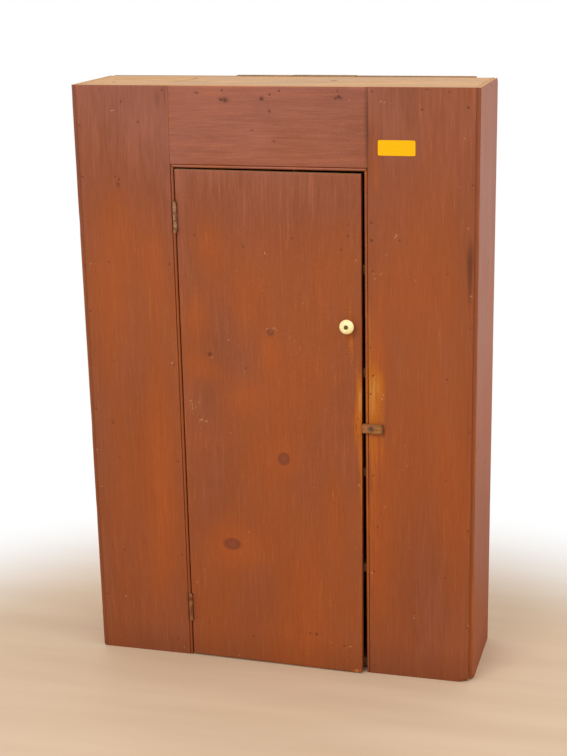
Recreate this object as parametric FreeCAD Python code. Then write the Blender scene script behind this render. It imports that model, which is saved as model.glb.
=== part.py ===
import FreeCAD, Part

# A painted pine jelly cupboard: one door in a wide boarded front, four shelves, bare pine top.
# Lengths are in millimetres. X runs across the front, Y from the front to the back, Z up from the floor.
# The model is drawn with the front boards' face at y = 0 and moved once, when it is written out, so that
# the origin lies on the floor under the middle of the whole cupboard, knob included.

import math
import os

from FreeCAD import Vector

# ---- Carcass ----
CASE_WIDTH = 1000.0
CASE_HEIGHT = 1490.0
CASE_DEPTH = 272.0
SIDE_THICK = 22.0
FRONT_THICK = 20.0
BACK_THICK = 16.0
SHELF_THICK = 22.0
SIDE_LIP = 10.0              # what the rabbets leave of a side, beside the front and back boards
HOUSING_DEPTH = 6.0          # how deep shelf ends sit in the sides
WOOD_SLACK = 0.2             # air round a board in its housing
JOINT_LINE = 0.5             # open line between two front boards
FRONT_EDGE_ROUND = 2.0       # wear on the sides' long front corners
BACK_EDGE_ROUND = 4.0        # wear on the sides' top back corners
TOP_EDGE_ROUND = 1.5         # wear on the front's top edge

# ---- Shelves, by the height of their middles ----
SHELF_COUNT = 4
BOTTOM_BOARD_Z = 21.0
LOWEST_SHELF_Z = 283.0
SHELF_PITCH = 257.5

# ---- Front boards ----
LEFT_STILE_WIDTH = 242.8
RIGHT_STILE_WIDTH = 263.5
RAIL_HEIGHT = 195.5
RAIL_END_TAPER = 3.5         # how far the rail's left end runs out of square
BEAD_WIDTH = 7.0
QUIRK_WIDTH = 1.6
BEAD_SINK = 0.3              # the bead's crest lies this far under the face

# ---- Back boards: places of the joints between them, and how their tops and feet stand ----
BACK_JOINTS_X = [-160.0, -14.5, 151.0]
BACK_JOINT_GAPS = [0.8, 3.0, 0.8]
BACK_TOPS_PROUD = [0.0, 2.5, 3.2, 2.2]
BACK_FEET_Z = [4.0, 6.0, 3.0, 5.0]
BACK_CORNER_NOTCH = 42.0     # length of the broken top corner of the last board

# ---- Door ----
DOOR_THICK = 19.0
DOOR_GAP_HINGE = 3.0
DOOR_GAP_KNOB_TOP = 7.5
DOOR_GAP_KNOB_FOOT = 10.5
DOOR_GAP_RAIL_HINGE = 4.0
DOOR_GAP_RAIL_KNOB = 7.0
DOOR_GAP_FLOOR_HINGE = 4.0
DOOR_GAP_FLOOR_KNOB = 2.5
DOOR_BOW = 12.0              # how far the foot of the knob side has warped out of the front
DOOR_BOW_START = 620.0       # height above which the door is flat

# ---- Door battens ----
BATTEN_WIDTH = 60.0
BATTEN_THICK = 20.0
BATTEN_INSET = 26.0
BATTEN_SEAT = 0.2            # air between a batten and the door board
LOWER_BATTEN_Z = 85.0
UPPER_BATTEN_DROP = 176.5    # from the top of the opening to the batten's middle

# ---- Butt hinges ----
LOWER_HINGE_Z = 139.0
UPPER_HINGE_DROP = 120.5     # from the top of the opening to the hinge's middle
HINGE_HEIGHT = 76.0
HINGE_KNUCKLES = 5
KNUCKLE_RADIUS = 4.5
KNUCKLE_AIR = 0.3            # between one knuckle and the next
KNUCKLE_STANDOFF = 0.5       # between the barrel and the front
LEAF_THICK = 1.8
LEAF_DEPTH = 17.0
LEAF_AIR = 0.2               # round a leaf in its recess
PIN_RADIUS = 2.0
PIN_CLEARANCE = 0.05
PIN_PROUD = 0.8
LEAF_SCREW_SPACING = 26.0

# ---- Screws: head radius, shank radius, length ----
LEAF_SCREW = (3.4, 1.8, 16.0)
KNOB_SCREW = (5.2, 2.4, 40.0)
BUTTON_SCREW = (5.0, 2.3, 24.0)
SCREW_SLOT_WIDTH = 1.0
SCREW_SLOT_DEPTH = 0.9

# ---- Knob ----
KNOB_EDGE_INSET = 32.5       # from the door's knob-side edge to the knob's middle
KNOB_Z = 922.0
KNOB_RADIUS = 18.0
KNOB_REACH = 27.0
KNOB_RIM_REACH = 18.5        # how far out the widest part stands
KNOB_NECK_REACH = 7.5
KNOB_NECK_RADIUS = 8.5
KNOB_FOOT_RADIUS = 11.0
KNOB_FOOT_EDGE = 1.8
KNOB_BORE_AIR = 0.3

# ---- Turn button ----
BUTTON_SHORT_ARM = 24.0
BUTTON_LONG_ARM = 30.0
BUTTON_WIDTH = 24.0
BUTTON_THICK = 9.0
BUTTON_EDGE_ROUND = 1.5
BUTTON_Z = 663.5
BUTTON_LAP = 5.0             # how far the long arm laps the door when it is turned to hold it
BUTTON_AIR = 0.4             # between the button and the front, and under the screw's head
BUTTON_SHANK_AIR = 0.1

# ---- Paper label ----
LABEL_WIDTH = 89.0
LABEL_HEIGHT = 36.0
LABEL_THICK = 0.2
LABEL_CORNER_ROUND = 3.0
LABEL_LEFT_INSET = 33.5      # from the right stile's inner edge
LABEL_DROP = 121.5           # from the top of the case to the label's top

# ---- Cut nails ----
NAIL_HEAD = (5.0, 3.6, 1.2)  # width, breadth, thickness
NAIL_SHANK = 2.6
NAIL_TIP = 1.2
NAIL_LENGTH = 45.0
BATTEN_NAIL_LENGTH = 36.0
NAIL_INSET_INNER = 20.0      # front nails, from the opening's edge
NAIL_INSET_OUTER = 63.0      # front nails, from the outer edge of a stile
RAIL_NAILS_X = [-117.0, 24.0, 165.0]
SIDE_NAILS_Y = [70.0, 164.0]
BACK_NAIL_INSET = 24.0
BATTEN_NAIL_COUNT = 4
BATTEN_NAIL_STAGGER = 12.0

# ---- Wear at the foot of the front corners ----
RIGHT_TOE_WEAR = 35.0
LEFT_TOE_WEAR = 10.0

REACH = 5.0                  # how far a cutting tool runs past what it cuts

# ---- Places that follow from the sizes above ----
half_width = CASE_WIDTH / 2
inner_x = half_width - SIDE_THICK
lip_x = half_width - SIDE_LIP
housing_x = inner_x + HOUSING_DEPTH
back_y = CASE_DEPTH - BACK_THICK
opening_left = -lip_x + LEFT_STILE_WIDTH
opening_right = lip_x - RIGHT_STILE_WIDTH
opening_top = CASE_HEIGHT - RAIL_HEIGHT
bead_step = BEAD_WIDTH + QUIRK_WIDTH
upper_hinge_z = opening_top - UPPER_HINGE_DROP
upper_batten_z = opening_top - UPPER_BATTEN_DROP
top_board_z = CASE_HEIGHT - SHELF_THICK / 2
shelf_zs = [LOWEST_SHELF_Z + SHELF_PITCH * number for number in range(SHELF_COUNT)]
board_zs = [BOTTOM_BOARD_Z] + shelf_zs + [top_board_z]

door_left = opening_left + DOOR_GAP_HINGE
door_top_left = (door_left, opening_top - DOOR_GAP_RAIL_HINGE)
door_top_right = (opening_right - DOOR_GAP_KNOB_TOP, opening_top - DOOR_GAP_RAIL_KNOB)
door_foot_left = (door_left, DOOR_GAP_FLOOR_HINGE)
door_foot_right = (opening_right - DOOR_GAP_KNOB_FOOT, DOOR_GAP_FLOOR_KNOB)

pin_x = opening_left + DOOR_GAP_HINGE / 2
pin_y = -(KNUCKLE_RADIUS + KNUCKLE_STANDOFF)
front_y = -(CASE_DEPTH - KNOB_REACH) / 2

pieces = {}


def slab(low, high):
    """A square-cornered block between two opposite corners."""
    return Part.makeBox(high[0] - low[0], high[1] - low[1], high[2] - low[2], Vector(*low))


def mirrored(shape):
    return shape.mirror(Vector(0, 0, 0), Vector(1, 0, 0))


def edges_at(shape, **place):
    """The straight edges whose two ends both lie at the given x, y or z."""
    return [
        edge for edge in shape.Edges
        if all(abs(getattr(v.Point, axis) - value) < 1e-6 for v in edge.Vertexes for axis, value in place.items())
    ]


def cut_away(tools, *names):
    """Take the tools' shapes out of the named pieces."""
    for name in names:
        pieces[name] = pieces[name].cut(tools)


# ---- Sides, top, bottom and shelves ----

def right_side():
    """A side board: rabbeted front and back, and housed for the six cross boards."""
    board = slab((inner_x, 0, 0), (half_width, CASE_DEPTH, CASE_HEIGHT))
    board = board.makeFillet(FRONT_EDGE_ROUND, edges_at(board, x=half_width, y=0))
    board = board.makeFillet(BACK_EDGE_ROUND, edges_at(board, y=CASE_DEPTH, z=CASE_HEIGHT))
    over = CASE_HEIGHT + REACH
    tools = [
        slab((inner_x - REACH, -REACH, -REACH), (lip_x, FRONT_THICK, over)),
        slab((inner_x - REACH, back_y, -REACH), (lip_x, CASE_DEPTH + REACH, over)),
    ]
    half = SHELF_THICK / 2 + WOOD_SLACK
    for middle in board_zs:
        top = over if middle == top_board_z else middle + half
        tools.append(slab((inner_x - REACH, FRONT_THICK - REACH, middle - half), (housing_x, back_y + REACH, top)))
    return board.cut(tools)


def cross_board(middle):
    """A shelf, the bottom or the top board, housed in both sides."""
    end = housing_x - WOOD_SLACK
    return slab((-end, FRONT_THICK, middle - SHELF_THICK / 2),
                (end, back_y - WOOD_SLACK, middle + SHELF_THICK / 2))


pieces["side_right"] = right_side()
pieces["side_left"] = mirrored(pieces["side_right"])
pieces["bottom_board"] = cross_board(BOTTOM_BOARD_Z)
pieces["top_board"] = cross_board(top_board_z)
shelf_names = ["shelf_%d" % (number + 1) for number in range(SHELF_COUNT)]
for shelf_name, shelf_z in zip(shelf_names, shelf_zs):
    pieces[shelf_name] = cross_board(shelf_z)
cross_names = ["bottom_board"] + shelf_names + ["top_board"]


# ---- Front boards ----

def front_board(outline):
    """A board of the front from its outline in x and z, its top front edge worn round."""
    points = [Vector(x, 0, z) for x, z in outline]
    board = Part.Face(Part.makePolygon(points + points[:1])).extrude(Vector(0, FRONT_THICK, 0))
    return board.makeFillet(TOP_EDGE_ROUND, edges_at(board, y=0, z=CASE_HEIGHT))


def bead_tool(place, run):
    """What a beading plane takes off: place(in, deep) gives a point by its distances from edge and face."""
    radius = BEAD_WIDTH / 2
    root = BEAD_SINK + radius
    quirk_outside = place(bead_step, -REACH)
    quirk_top = place(bead_step, 0)
    quirk_root = place(BEAD_WIDTH, root)
    bead_end = place(0, root)
    outside_low = place(-REACH, root)
    outside_high = place(-REACH, -REACH)
    outline = [
        Part.LineSegment(quirk_outside, quirk_top),
        Part.LineSegment(quirk_top, quirk_root),
        Part.Arc(quirk_root, place(radius, BEAD_SINK), bead_end),
        Part.LineSegment(bead_end, outside_low),
        Part.LineSegment(outside_low, outside_high),
        Part.LineSegment(outside_high, quirk_outside),
    ]
    return Part.Face(Part.Wire([curve.toShape() for curve in outline])).extrude(run)


def stile(edge, outer, inward, taper):
    """A front board beside the door; inward is +1 or -1, the way from its beaded edge into the board."""
    shoulder = edge + inward * bead_step
    board = front_board([
        (outer, 0), (edge, 0), (edge, opening_top), (shoulder, opening_top + bead_step),
        (shoulder + taper, CASE_HEIGHT), (outer, CASE_HEIGHT),
    ])
    tool = bead_tool(lambda inset, deep: Vector(edge + inward * inset, deep, -REACH),
                     Vector(0, 0, opening_top + bead_step + REACH))
    return board.cut(tool)


def rail():
    """The board over the door, its beaded lower edge mitred into the stiles' beads."""
    left = opening_left - bead_step + JOINT_LINE
    right = opening_right + bead_step - JOINT_LINE
    low = opening_top + bead_step
    board = front_board([
        (left, low), (opening_left + JOINT_LINE, opening_top), (opening_right - JOINT_LINE, opening_top),
        (right, low), (right, CASE_HEIGHT), (left + RAIL_END_TAPER, CASE_HEIGHT),
    ])
    tool = bead_tool(lambda inset, deep: Vector(left - REACH, deep, opening_top + inset),
                     Vector(right - left + 2 * REACH, 0, 0))
    return board.cut(tool)


pieces["stile_left"] = stile(opening_left, -lip_x + JOINT_LINE, -1, RAIL_END_TAPER)
pieces["stile_right"] = stile(opening_right, lip_x - JOINT_LINE, 1, 0)
pieces["top_rail"] = rail()


# ---- Back boards ----

def back_boards():
    """Upright boards in the sides' back rabbets, with uneven tops and feet."""
    boards = []
    lefts = [-lip_x + WOOD_SLACK] + [x + gap / 2 for x, gap in zip(BACK_JOINTS_X, BACK_JOINT_GAPS)]
    rights = [x - gap / 2 for x, gap in zip(BACK_JOINTS_X, BACK_JOINT_GAPS)] + [lip_x - WOOD_SLACK]
    for left, right, foot, proud in zip(lefts, rights, BACK_FEET_Z, BACK_TOPS_PROUD):
        boards.append(slab((left, back_y, foot), (right, CASE_DEPTH, CASE_HEIGHT + proud)))
    corner = slab((lip_x - BACK_CORNER_NOTCH, back_y - REACH, CASE_HEIGHT - BACK_EDGE_ROUND),
                  (lip_x + REACH, CASE_DEPTH + REACH, CASE_HEIGHT + max(BACK_TOPS_PROUD) + REACH))
    boards[-1] = boards[-1].cut(corner)
    return boards


back_names = []
for number, board in enumerate(back_boards()):
    back_names.append("back_board_%d" % (number + 1))
    pieces[back_names[-1]] = board


# ---- Door and battens ----

def door_face_y(x, z):
    """Where the door's face lies in y: flat above, warped outwards towards the foot of its knob side."""
    across = (x - door_left) / (door_foot_right[0] - door_left)
    down = max(0.0, 1 - z / DOOR_BOW_START)
    return -DOOR_BOW * across * down


def warped_section(left, right, front, back):
    """A closed section across the door between two (x, z) places, from depth front to depth back."""
    corners = [(left, front), (right, front), (right, back), (left, back)]
    points = [Vector(x, door_face_y(x, z) + depth, z) for (x, z), depth in corners]
    return Part.makePolygon(points + points[:1])


def warped_board(foot, head, front, back):
    """A board between two sections across the door, each given by its left and right (x, z) places."""
    wires = [warped_section(left, right, front, back) for left, right in (foot, head)]
    return Part.makeLoft(wires, True, True)


def door_board():
    """One wide board, flat above and warped below, a little out of square so that the gaps round it taper."""
    share = (DOOR_BOW_START - door_foot_right[1]) / (door_top_right[1] - door_foot_right[1])
    bow_left = (door_left, DOOR_BOW_START)
    bow_right = (door_foot_right[0] + share * (door_top_right[0] - door_foot_right[0]), DOOR_BOW_START)
    points = [Vector(x, 0, z) for x, z in (bow_left, bow_right, door_top_right, door_top_left)]
    flat = Part.Face(Part.makePolygon(points + points[:1])).extrude(Vector(0, DOOR_THICK, 0))
    return flat.fuse(warped_board((door_foot_left, door_foot_right), (bow_left, bow_right), 0, DOOR_THICK))


def batten(middle):
    """A board across the door's inside that follows its warp."""
    left = door_left + BATTEN_INSET
    right = door_foot_right[0] - BATTEN_INSET
    low = middle - BATTEN_WIDTH / 2
    high = middle + BATTEN_WIDTH / 2
    front = DOOR_THICK + BATTEN_SEAT
    return warped_board(((left, low), (right, low)), ((left, high), (right, high)), front, front + BATTEN_THICK)


pieces["door_board"] = door_board()
pieces["lower_batten"] = batten(LOWER_BATTEN_Z)
pieces["upper_batten"] = batten(upper_batten_z)


# ---- Screws ----

def wood_screw(size, start, direction):
    """A countersunk screw with a slotted head, its head's face at start, running along direction."""
    head_radius, shank_radius, length = size
    head_depth = head_radius - shank_radius
    head = Part.makeCone(head_radius, shank_radius, head_depth, start, direction)
    shank = Part.makeCylinder(shank_radius, length - head_depth, start + direction * head_depth, direction)
    return head.fuse(shank).removeSplitter()


def slotted(screw, start, direction, radius):
    """The screw with a driver slot across its head."""
    slot = Part.makeBox(2 * radius + 2, SCREW_SLOT_WIDTH, 2 * SCREW_SLOT_DEPTH)
    slot.translate(Vector(-radius - 1, -SCREW_SLOT_WIDTH / 2, -SCREW_SLOT_DEPTH))
    slot.Placement = FreeCAD.Placement(start, FreeCAD.Rotation(Vector(0, 0, 1), direction)).multiply(slot.Placement)
    return screw.cut(slot)


# ---- Hinges ----

def hinge_leaf(middle, side, first_knuckle):
    """One leaf of a butt hinge with its share of the knuckles; side is -1 on the case and +1 on the door."""
    inner = pin_x + side * DOOR_GAP_HINGE / 2
    outer = inner + side * LEAF_THICK
    low_x = min(inner, outer)
    high_x = max(inner, outer)
    low_z = middle - HINGE_HEIGHT / 2
    plate_y = pin_y + KNUCKLE_RADIUS + 2 * KNUCKLE_STANDOFF
    leaf = slab((low_x, plate_y, low_z), (high_x, LEAF_DEPTH, low_z + HINGE_HEIGHT))
    pitch = HINGE_HEIGHT / HINGE_KNUCKLES
    for number in range(first_knuckle, HINGE_KNUCKLES, 2):
        start = low_z + pitch * number + (KNUCKLE_AIR / 2 if number else 0)
        end = low_z + pitch * (number + 1) - (KNUCKLE_AIR / 2 if number < HINGE_KNUCKLES - 1 else 0)
        leaf = leaf.fuse([
            Part.makeCylinder(KNUCKLE_RADIUS, end - start, Vector(pin_x, pin_y, start)),
            slab((low_x, pin_y, start), (high_x, plate_y + LEAF_THICK, end)),
        ])
    bore = Part.makeCylinder(PIN_RADIUS + PIN_CLEARANCE, HINGE_HEIGHT + 2 * REACH,
                             Vector(pin_x, pin_y, low_z - REACH))
    return leaf.cut(bore).removeSplitter()


def leaf_recess(middle, side):
    """The recess that lets a leaf in flush with the edge of its board."""
    inner = pin_x + side * DOOR_GAP_HINGE / 2 - side * REACH / 10
    outer = pin_x + side * (DOOR_GAP_HINGE / 2 + LEAF_THICK + LEAF_AIR)
    half = HINGE_HEIGHT / 2 + LEAF_AIR
    return slab((min(inner, outer), -REACH, middle - half),
                (max(inner, outer), LEAF_DEPTH + LEAF_AIR, middle + half))


def hinge_pin(middle):
    length = HINGE_HEIGHT + 2 * PIN_PROUD
    return Part.makeCylinder(PIN_RADIUS, length, Vector(pin_x, pin_y, middle - length / 2))


def fit_leaf(name, carrier, middle, side, first_knuckle):
    """Set one leaf in its board with three screws, and return the screws."""
    pieces[name] = hinge_leaf(middle, side, first_knuckle)
    cut_away([leaf_recess(middle, side)], carrier)
    direction = Vector(side, 0, 0)
    screws = []
    for step in (-1, 0, 1):
        start = Vector(pin_x + side * DOOR_GAP_HINGE / 2, LEAF_DEPTH / 2, middle + step * LEAF_SCREW_SPACING)
        screw = wood_screw(LEAF_SCREW, start, direction)
        cut_away([screw], name, carrier)
        screws.append(slotted(screw, start, direction, LEAF_SCREW[0]))
    return screws


case_screws = []
door_screws = []
for hinge_name, hinge_z in (("lower_hinge", LOWER_HINGE_Z), ("upper_hinge", upper_hinge_z)):
    case_screws += fit_leaf(hinge_name + "_case_leaf", "stile_left", hinge_z, -1, 0)
    door_screws += fit_leaf(hinge_name + "_door_leaf", "door_board", hinge_z, 1, 1)
    pieces[hinge_name + "_pin"] = hinge_pin(hinge_z)
pieces["case_hinge_screws"] = Part.makeCompound(case_screws)
pieces["door_hinge_screws"] = Part.makeCompound(door_screws)


# ---- Knob ----

def knob_x():
    """The knob's middle, a set distance in from the door's edge at the knob's height."""
    share = (KNOB_Z - door_foot_right[1]) / (door_top_right[1] - door_foot_right[1])
    return door_foot_right[0] + share * (door_top_right[0] - door_foot_right[0]) - KNOB_EDGE_INSET


def porcelain_knob(middle):
    """A turned mushroom knob on a flared foot, dished in front for the screw."""
    screw_head, screw_shank, screw_length = KNOB_SCREW
    bore = screw_shank + KNOB_BORE_AIR
    dish = screw_head + KNOB_BORE_AIR
    foot_edge = KNOB_FOOT_EDGE
    neck = KNOB_NECK_REACH
    rim = KNOB_RIM_REACH
    crown_width = KNOB_RADIUS - dish
    crown_height = KNOB_REACH - rim
    crown_radius = (crown_width ** 2 + crown_height ** 2) / (2 * crown_height)
    half_turn = math.atan2(crown_width, crown_radius - crown_height) / 2
    crown_middle = Vector(dish + crown_radius * math.sin(half_turn),
                          -KNOB_REACH + crown_radius * (1 - math.cos(half_turn)), 0)
    waist = Vector((KNOB_FOOT_RADIUS + 3 * KNOB_NECK_RADIUS) / 4, -(foot_edge + neck) / 2, 0)
    belly = Vector((KNOB_NECK_RADIUS + 2 * KNOB_RADIUS) / 3, -(neck + rim) / 2, 0)
    outline = [
        Part.LineSegment(Vector(bore, 0, 0), Vector(KNOB_FOOT_RADIUS, 0, 0)),
        Part.LineSegment(Vector(KNOB_FOOT_RADIUS, 0, 0), Vector(KNOB_FOOT_RADIUS, -foot_edge, 0)),
        Part.Arc(Vector(KNOB_FOOT_RADIUS, -foot_edge, 0), waist, Vector(KNOB_NECK_RADIUS, -neck, 0)),
        Part.Arc(Vector(KNOB_NECK_RADIUS, -neck, 0), belly, Vector(KNOB_RADIUS, -rim, 0)),
        Part.Arc(Vector(KNOB_RADIUS, -rim, 0), crown_middle, Vector(dish, -KNOB_REACH, 0)),
        Part.LineSegment(Vector(dish, -KNOB_REACH, 0), Vector(bore, -(KNOB_REACH - dish + bore), 0)),
        Part.LineSegment(Vector(bore, -(KNOB_REACH - dish + bore), 0), Vector(bore, 0, 0)),
    ]
    profile = Part.Face(Part.Wire([curve.toShape() for curve in outline]))
    knob = profile.revolve(Vector(0, 0, 0), Vector(0, 1, 0), 360)
    knob.translate(Vector(middle, 0, KNOB_Z))
    return knob


knob_middle = knob_x()
knob_screw_start = Vector(knob_middle, -(KNOB_REACH - KNOB_BORE_AIR), KNOB_Z)
knob_screw = wood_screw(KNOB_SCREW, knob_screw_start, Vector(0, 1, 0))
pieces["knob"] = porcelain_knob(knob_middle)
cut_away([knob_screw], "door_board")
pieces["knob_screw"] = slotted(knob_screw, knob_screw_start, Vector(0, 1, 0), KNOB_SCREW[0])


# ---- Turn button ----

def button_pivot_x():
    """The pivot stands so that the long arm, turned to the door, laps its edge by the named amount."""
    share = (BUTTON_Z - door_foot_right[1]) / (door_top_right[1] - door_foot_right[1])
    door_edge = door_foot_right[0] + share * (door_top_right[0] - door_foot_right[0])
    return door_edge - BUTTON_LAP + BUTTON_LONG_ARM


def turn_button(pivot):
    """A small wooden block on its screw, lying level with its short arm towards the door."""
    back = -BUTTON_AIR
    front = back - BUTTON_THICK
    block = slab((pivot - BUTTON_SHORT_ARM, front, BUTTON_Z - BUTTON_WIDTH / 2),
                 (pivot + BUTTON_LONG_ARM, back, BUTTON_Z + BUTTON_WIDTH / 2))
    block = block.makeFillet(BUTTON_EDGE_ROUND, edges_at(block, y=front))
    head_radius, shank_radius, length = BUTTON_SCREW
    head_room = head_radius + BUTTON_AIR
    hole_radius = shank_radius + BUTTON_SHANK_AIR
    start = Vector(pivot, front, BUTTON_Z)
    inward = Vector(0, 1, 0)
    return block.cut([
        Part.makeCylinder(hole_radius, BUTTON_THICK + REACH, start, inward),
        Part.makeCone(head_room, hole_radius, head_room - hole_radius, start, inward),
        Part.makeCylinder(head_room, REACH, start - inward * REACH, inward),
    ])


pivot_x = button_pivot_x()
button_screw_start = Vector(pivot_x, -(BUTTON_AIR + BUTTON_THICK), BUTTON_Z)
button_screw = wood_screw(BUTTON_SCREW, button_screw_start, Vector(0, 1, 0))
pieces["turn_button"] = turn_button(pivot_x)
cut_away([button_screw], "stile_right")
pieces["button_screw"] = slotted(button_screw, button_screw_start, Vector(0, 1, 0), BUTTON_SCREW[0])


# ---- Paper label ----

def paper_label():
    left = opening_right + LABEL_LEFT_INSET
    top = CASE_HEIGHT - LABEL_DROP
    sheet = slab((left, -LABEL_THICK, top - LABEL_HEIGHT), (left + LABEL_WIDTH, 0, top))
    corners = [edge for edge in sheet.Edges if abs(edge.Length - LABEL_THICK) < 1e-6]
    return sheet.makeFillet(LABEL_CORNER_ROUND, corners)


pieces["price_label"] = paper_label()


# ---- Nails ----

def cut_nail(start, direction, length):
    """A square cut nail, its head's face at start, tapering along direction."""
    width, breadth, thickness = NAIL_HEAD
    head = slab((-width / 2, -breadth / 2, 0), (width / 2, breadth / 2, thickness))
    sections = []
    for size, depth in ((NAIL_SHANK, thickness), (NAIL_TIP, length)):
        half = size / 2
        ring = [Vector(x, y, depth) for x, y in ((-half, -half), (half, -half), (half, half), (-half, half))]
        sections.append(Part.makePolygon(ring + ring[:1]))
    nail = head.fuse(Part.makeLoft(sections, True, True)).removeSplitter()
    nail.Placement = FreeCAD.Placement(start, FreeCAD.Rotation(Vector(0, 0, 1), direction))
    return nail


nail_groups = {"face_nails": [], "side_nails": [], "back_nails": [], "batten_nails": []}


def drive(group, start, direction, names, length=NAIL_LENGTH):
    """Drive one nail, and open its hole in the boards that it goes through."""
    nail = cut_nail(start, direction, length)
    nail_groups[group].append(nail)
    cut_away([nail], *names)


shoulder_x = (lip_x + inner_x) / 2
for board_z, next_z in zip(board_zs, board_zs[1:]):
    height = (board_z + next_z) / 2
    drive("face_nails", Vector(-shoulder_x, 0, height), Vector(0, 1, 0), ["stile_left", "side_left"])
    drive("face_nails", Vector(shoulder_x, 0, height), Vector(0, 1, 0), ["stile_right", "side_right"])

for cross_name, board_z in zip(cross_names, board_zs):
    for x in (-lip_x + NAIL_INSET_OUTER, opening_left - NAIL_INSET_INNER):
        drive("face_nails", Vector(x, 0, board_z), Vector(0, 1, 0), ["stile_left", cross_name])
    for x in (lip_x - NAIL_INSET_OUTER, opening_right + NAIL_INSET_INNER):
        drive("face_nails", Vector(x, 0, board_z), Vector(0, 1, 0), ["stile_right", cross_name])
    for y in SIDE_NAILS_Y:
        drive("side_nails", Vector(-half_width, y, board_z), Vector(1, 0, 0), ["side_left", cross_name])
        drive("side_nails", Vector(half_width, y, board_z), Vector(-1, 0, 0), ["side_right", cross_name])

for x in RAIL_NAILS_X:
    drive("face_nails", Vector(x, 0, top_board_z), Vector(0, 1, 0), ["top_rail", "top_board"])

back_edges = [-lip_x] + BACK_JOINTS_X + [lip_x]
middle_number = len(cross_names) // 2
for back_name, left, right in zip(back_names, back_edges, back_edges[1:]):
    for x in (left + BACK_NAIL_INSET, right - BACK_NAIL_INSET):
        for row in (0, middle_number, -1):
            drive("back_nails", Vector(x, CASE_DEPTH, board_zs[row]), Vector(0, -1, 0),
                  [back_name, cross_names[row]])

batten_left = door_left + BATTEN_INSET + NAIL_INSET_INNER
batten_right = door_foot_right[0] - BATTEN_INSET - NAIL_INSET_INNER
for batten_name, batten_z in (("lower_batten", LOWER_BATTEN_Z), ("upper_batten", upper_batten_z)):
    for number in range(BATTEN_NAIL_COUNT):
        x = batten_left + (batten_right - batten_left) * number / (BATTEN_NAIL_COUNT - 1)
        z = batten_z + BATTEN_NAIL_STAGGER * (-1) ** number
        drive("batten_nails", Vector(x, door_face_y(x, z), z), Vector(0, 1, 0),
              ["door_board", batten_name], BATTEN_NAIL_LENGTH)

for group, nails in nail_groups.items():
    pieces[group] = Part.makeCompound(nails)


# ---- Wear at the front corners' feet ----

def worn_toe(corner_x, inward, size):
    """What scuffing has taken off one foot corner: a block, less the round corner left inside it."""
    low_x = min(corner_x - inward * REACH, corner_x + inward * size)
    block = Part.makeBox(size + REACH, size + REACH, size + REACH, Vector(low_x, -REACH, -REACH))
    ball = Part.makeSphere(size * math.sqrt(2) * 1.01, Vector(corner_x + inward * size, size, size))
    return block.cut(ball)


cut_away([worn_toe(half_width, -1, RIGHT_TOE_WEAR)], "side_right", "stile_right")
cut_away([worn_toe(-half_width, 1, LEFT_TOE_WEAR)], "side_left", "stile_left")


# ---- Write every piece out, in the cupboard's own frame ----

os.makedirs("parts", exist_ok=True)
for name, shape in pieces.items():
    moved = shape.copy()
    moved.translate(Vector(0, front_y, 0))
    moved.exportStep("parts/%s.step" % name)
    print("%-24s %3d solids %12.1f mm3  valid %s" % (name, len(moved.Solids), moved.Volume, moved.isValid()))
print("door hinge axis: x %.2f  y %.2f" % (pin_x, pin_y + front_y))
print("button axis: x %.2f  z %.2f" % (pivot_x, BUTTON_Z))
print("front face y %.2f  back y %.2f" % (front_y, front_y + CASE_DEPTH))
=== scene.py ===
# %% [markdown]
# # A jelly cupboard in worn red paint
#
# A jelly cupboard is a shallow pantry cupboard of plain pine boards. This one has a wide boarded front,
# one door on butt hinges, a porcelain knob and a wooden turn button. Its construction is finished and
# loaded below. What is left is how it looks: boards with worn corners and dents, thin red paint over
# pine, iron, porcelain and paper. Lengths are in metres: x runs across the front, y from the front to the
# back, z up from the floor.

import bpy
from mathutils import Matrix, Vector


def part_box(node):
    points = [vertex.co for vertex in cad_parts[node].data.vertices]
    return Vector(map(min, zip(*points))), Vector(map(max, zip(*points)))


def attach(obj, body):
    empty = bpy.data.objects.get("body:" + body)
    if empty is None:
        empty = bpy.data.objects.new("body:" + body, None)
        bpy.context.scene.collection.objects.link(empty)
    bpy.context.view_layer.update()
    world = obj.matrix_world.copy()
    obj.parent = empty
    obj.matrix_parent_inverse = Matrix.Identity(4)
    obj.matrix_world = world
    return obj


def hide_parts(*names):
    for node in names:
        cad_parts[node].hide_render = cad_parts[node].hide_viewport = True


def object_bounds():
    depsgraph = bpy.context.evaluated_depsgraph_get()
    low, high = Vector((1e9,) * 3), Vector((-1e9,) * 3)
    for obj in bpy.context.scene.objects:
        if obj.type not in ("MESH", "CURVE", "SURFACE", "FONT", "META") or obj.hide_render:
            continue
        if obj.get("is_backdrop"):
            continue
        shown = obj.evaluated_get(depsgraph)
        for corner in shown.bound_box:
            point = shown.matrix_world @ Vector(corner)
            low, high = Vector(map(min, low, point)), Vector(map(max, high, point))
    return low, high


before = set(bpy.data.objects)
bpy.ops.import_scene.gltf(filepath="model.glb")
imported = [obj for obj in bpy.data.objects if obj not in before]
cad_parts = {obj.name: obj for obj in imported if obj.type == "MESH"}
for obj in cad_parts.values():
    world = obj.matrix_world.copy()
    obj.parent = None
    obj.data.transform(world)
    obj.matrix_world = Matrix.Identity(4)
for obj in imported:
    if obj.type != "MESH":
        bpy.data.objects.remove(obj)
cad_box = [list(corner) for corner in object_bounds()]
print("construction:", len(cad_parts), "pieces")

# %% [markdown]
# ## Where things are
#
# Every place comes from the construction's own pieces, so the dressed cupboard can't drift away from it.
# Small real sizes, such as the wear on a corner, are written in millimetres times MM.

# %% Measure the carcass and the opening
import functools
import math
from types import SimpleNamespace

import bmesh
import bpy
import numpy as np
from mathutils import Matrix, Vector, noise

MM = 0.001


def low_high(name):
    """The lowest and highest corner of one piece of the construction."""
    low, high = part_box(name)
    return np.array(low), np.array(high)


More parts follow.
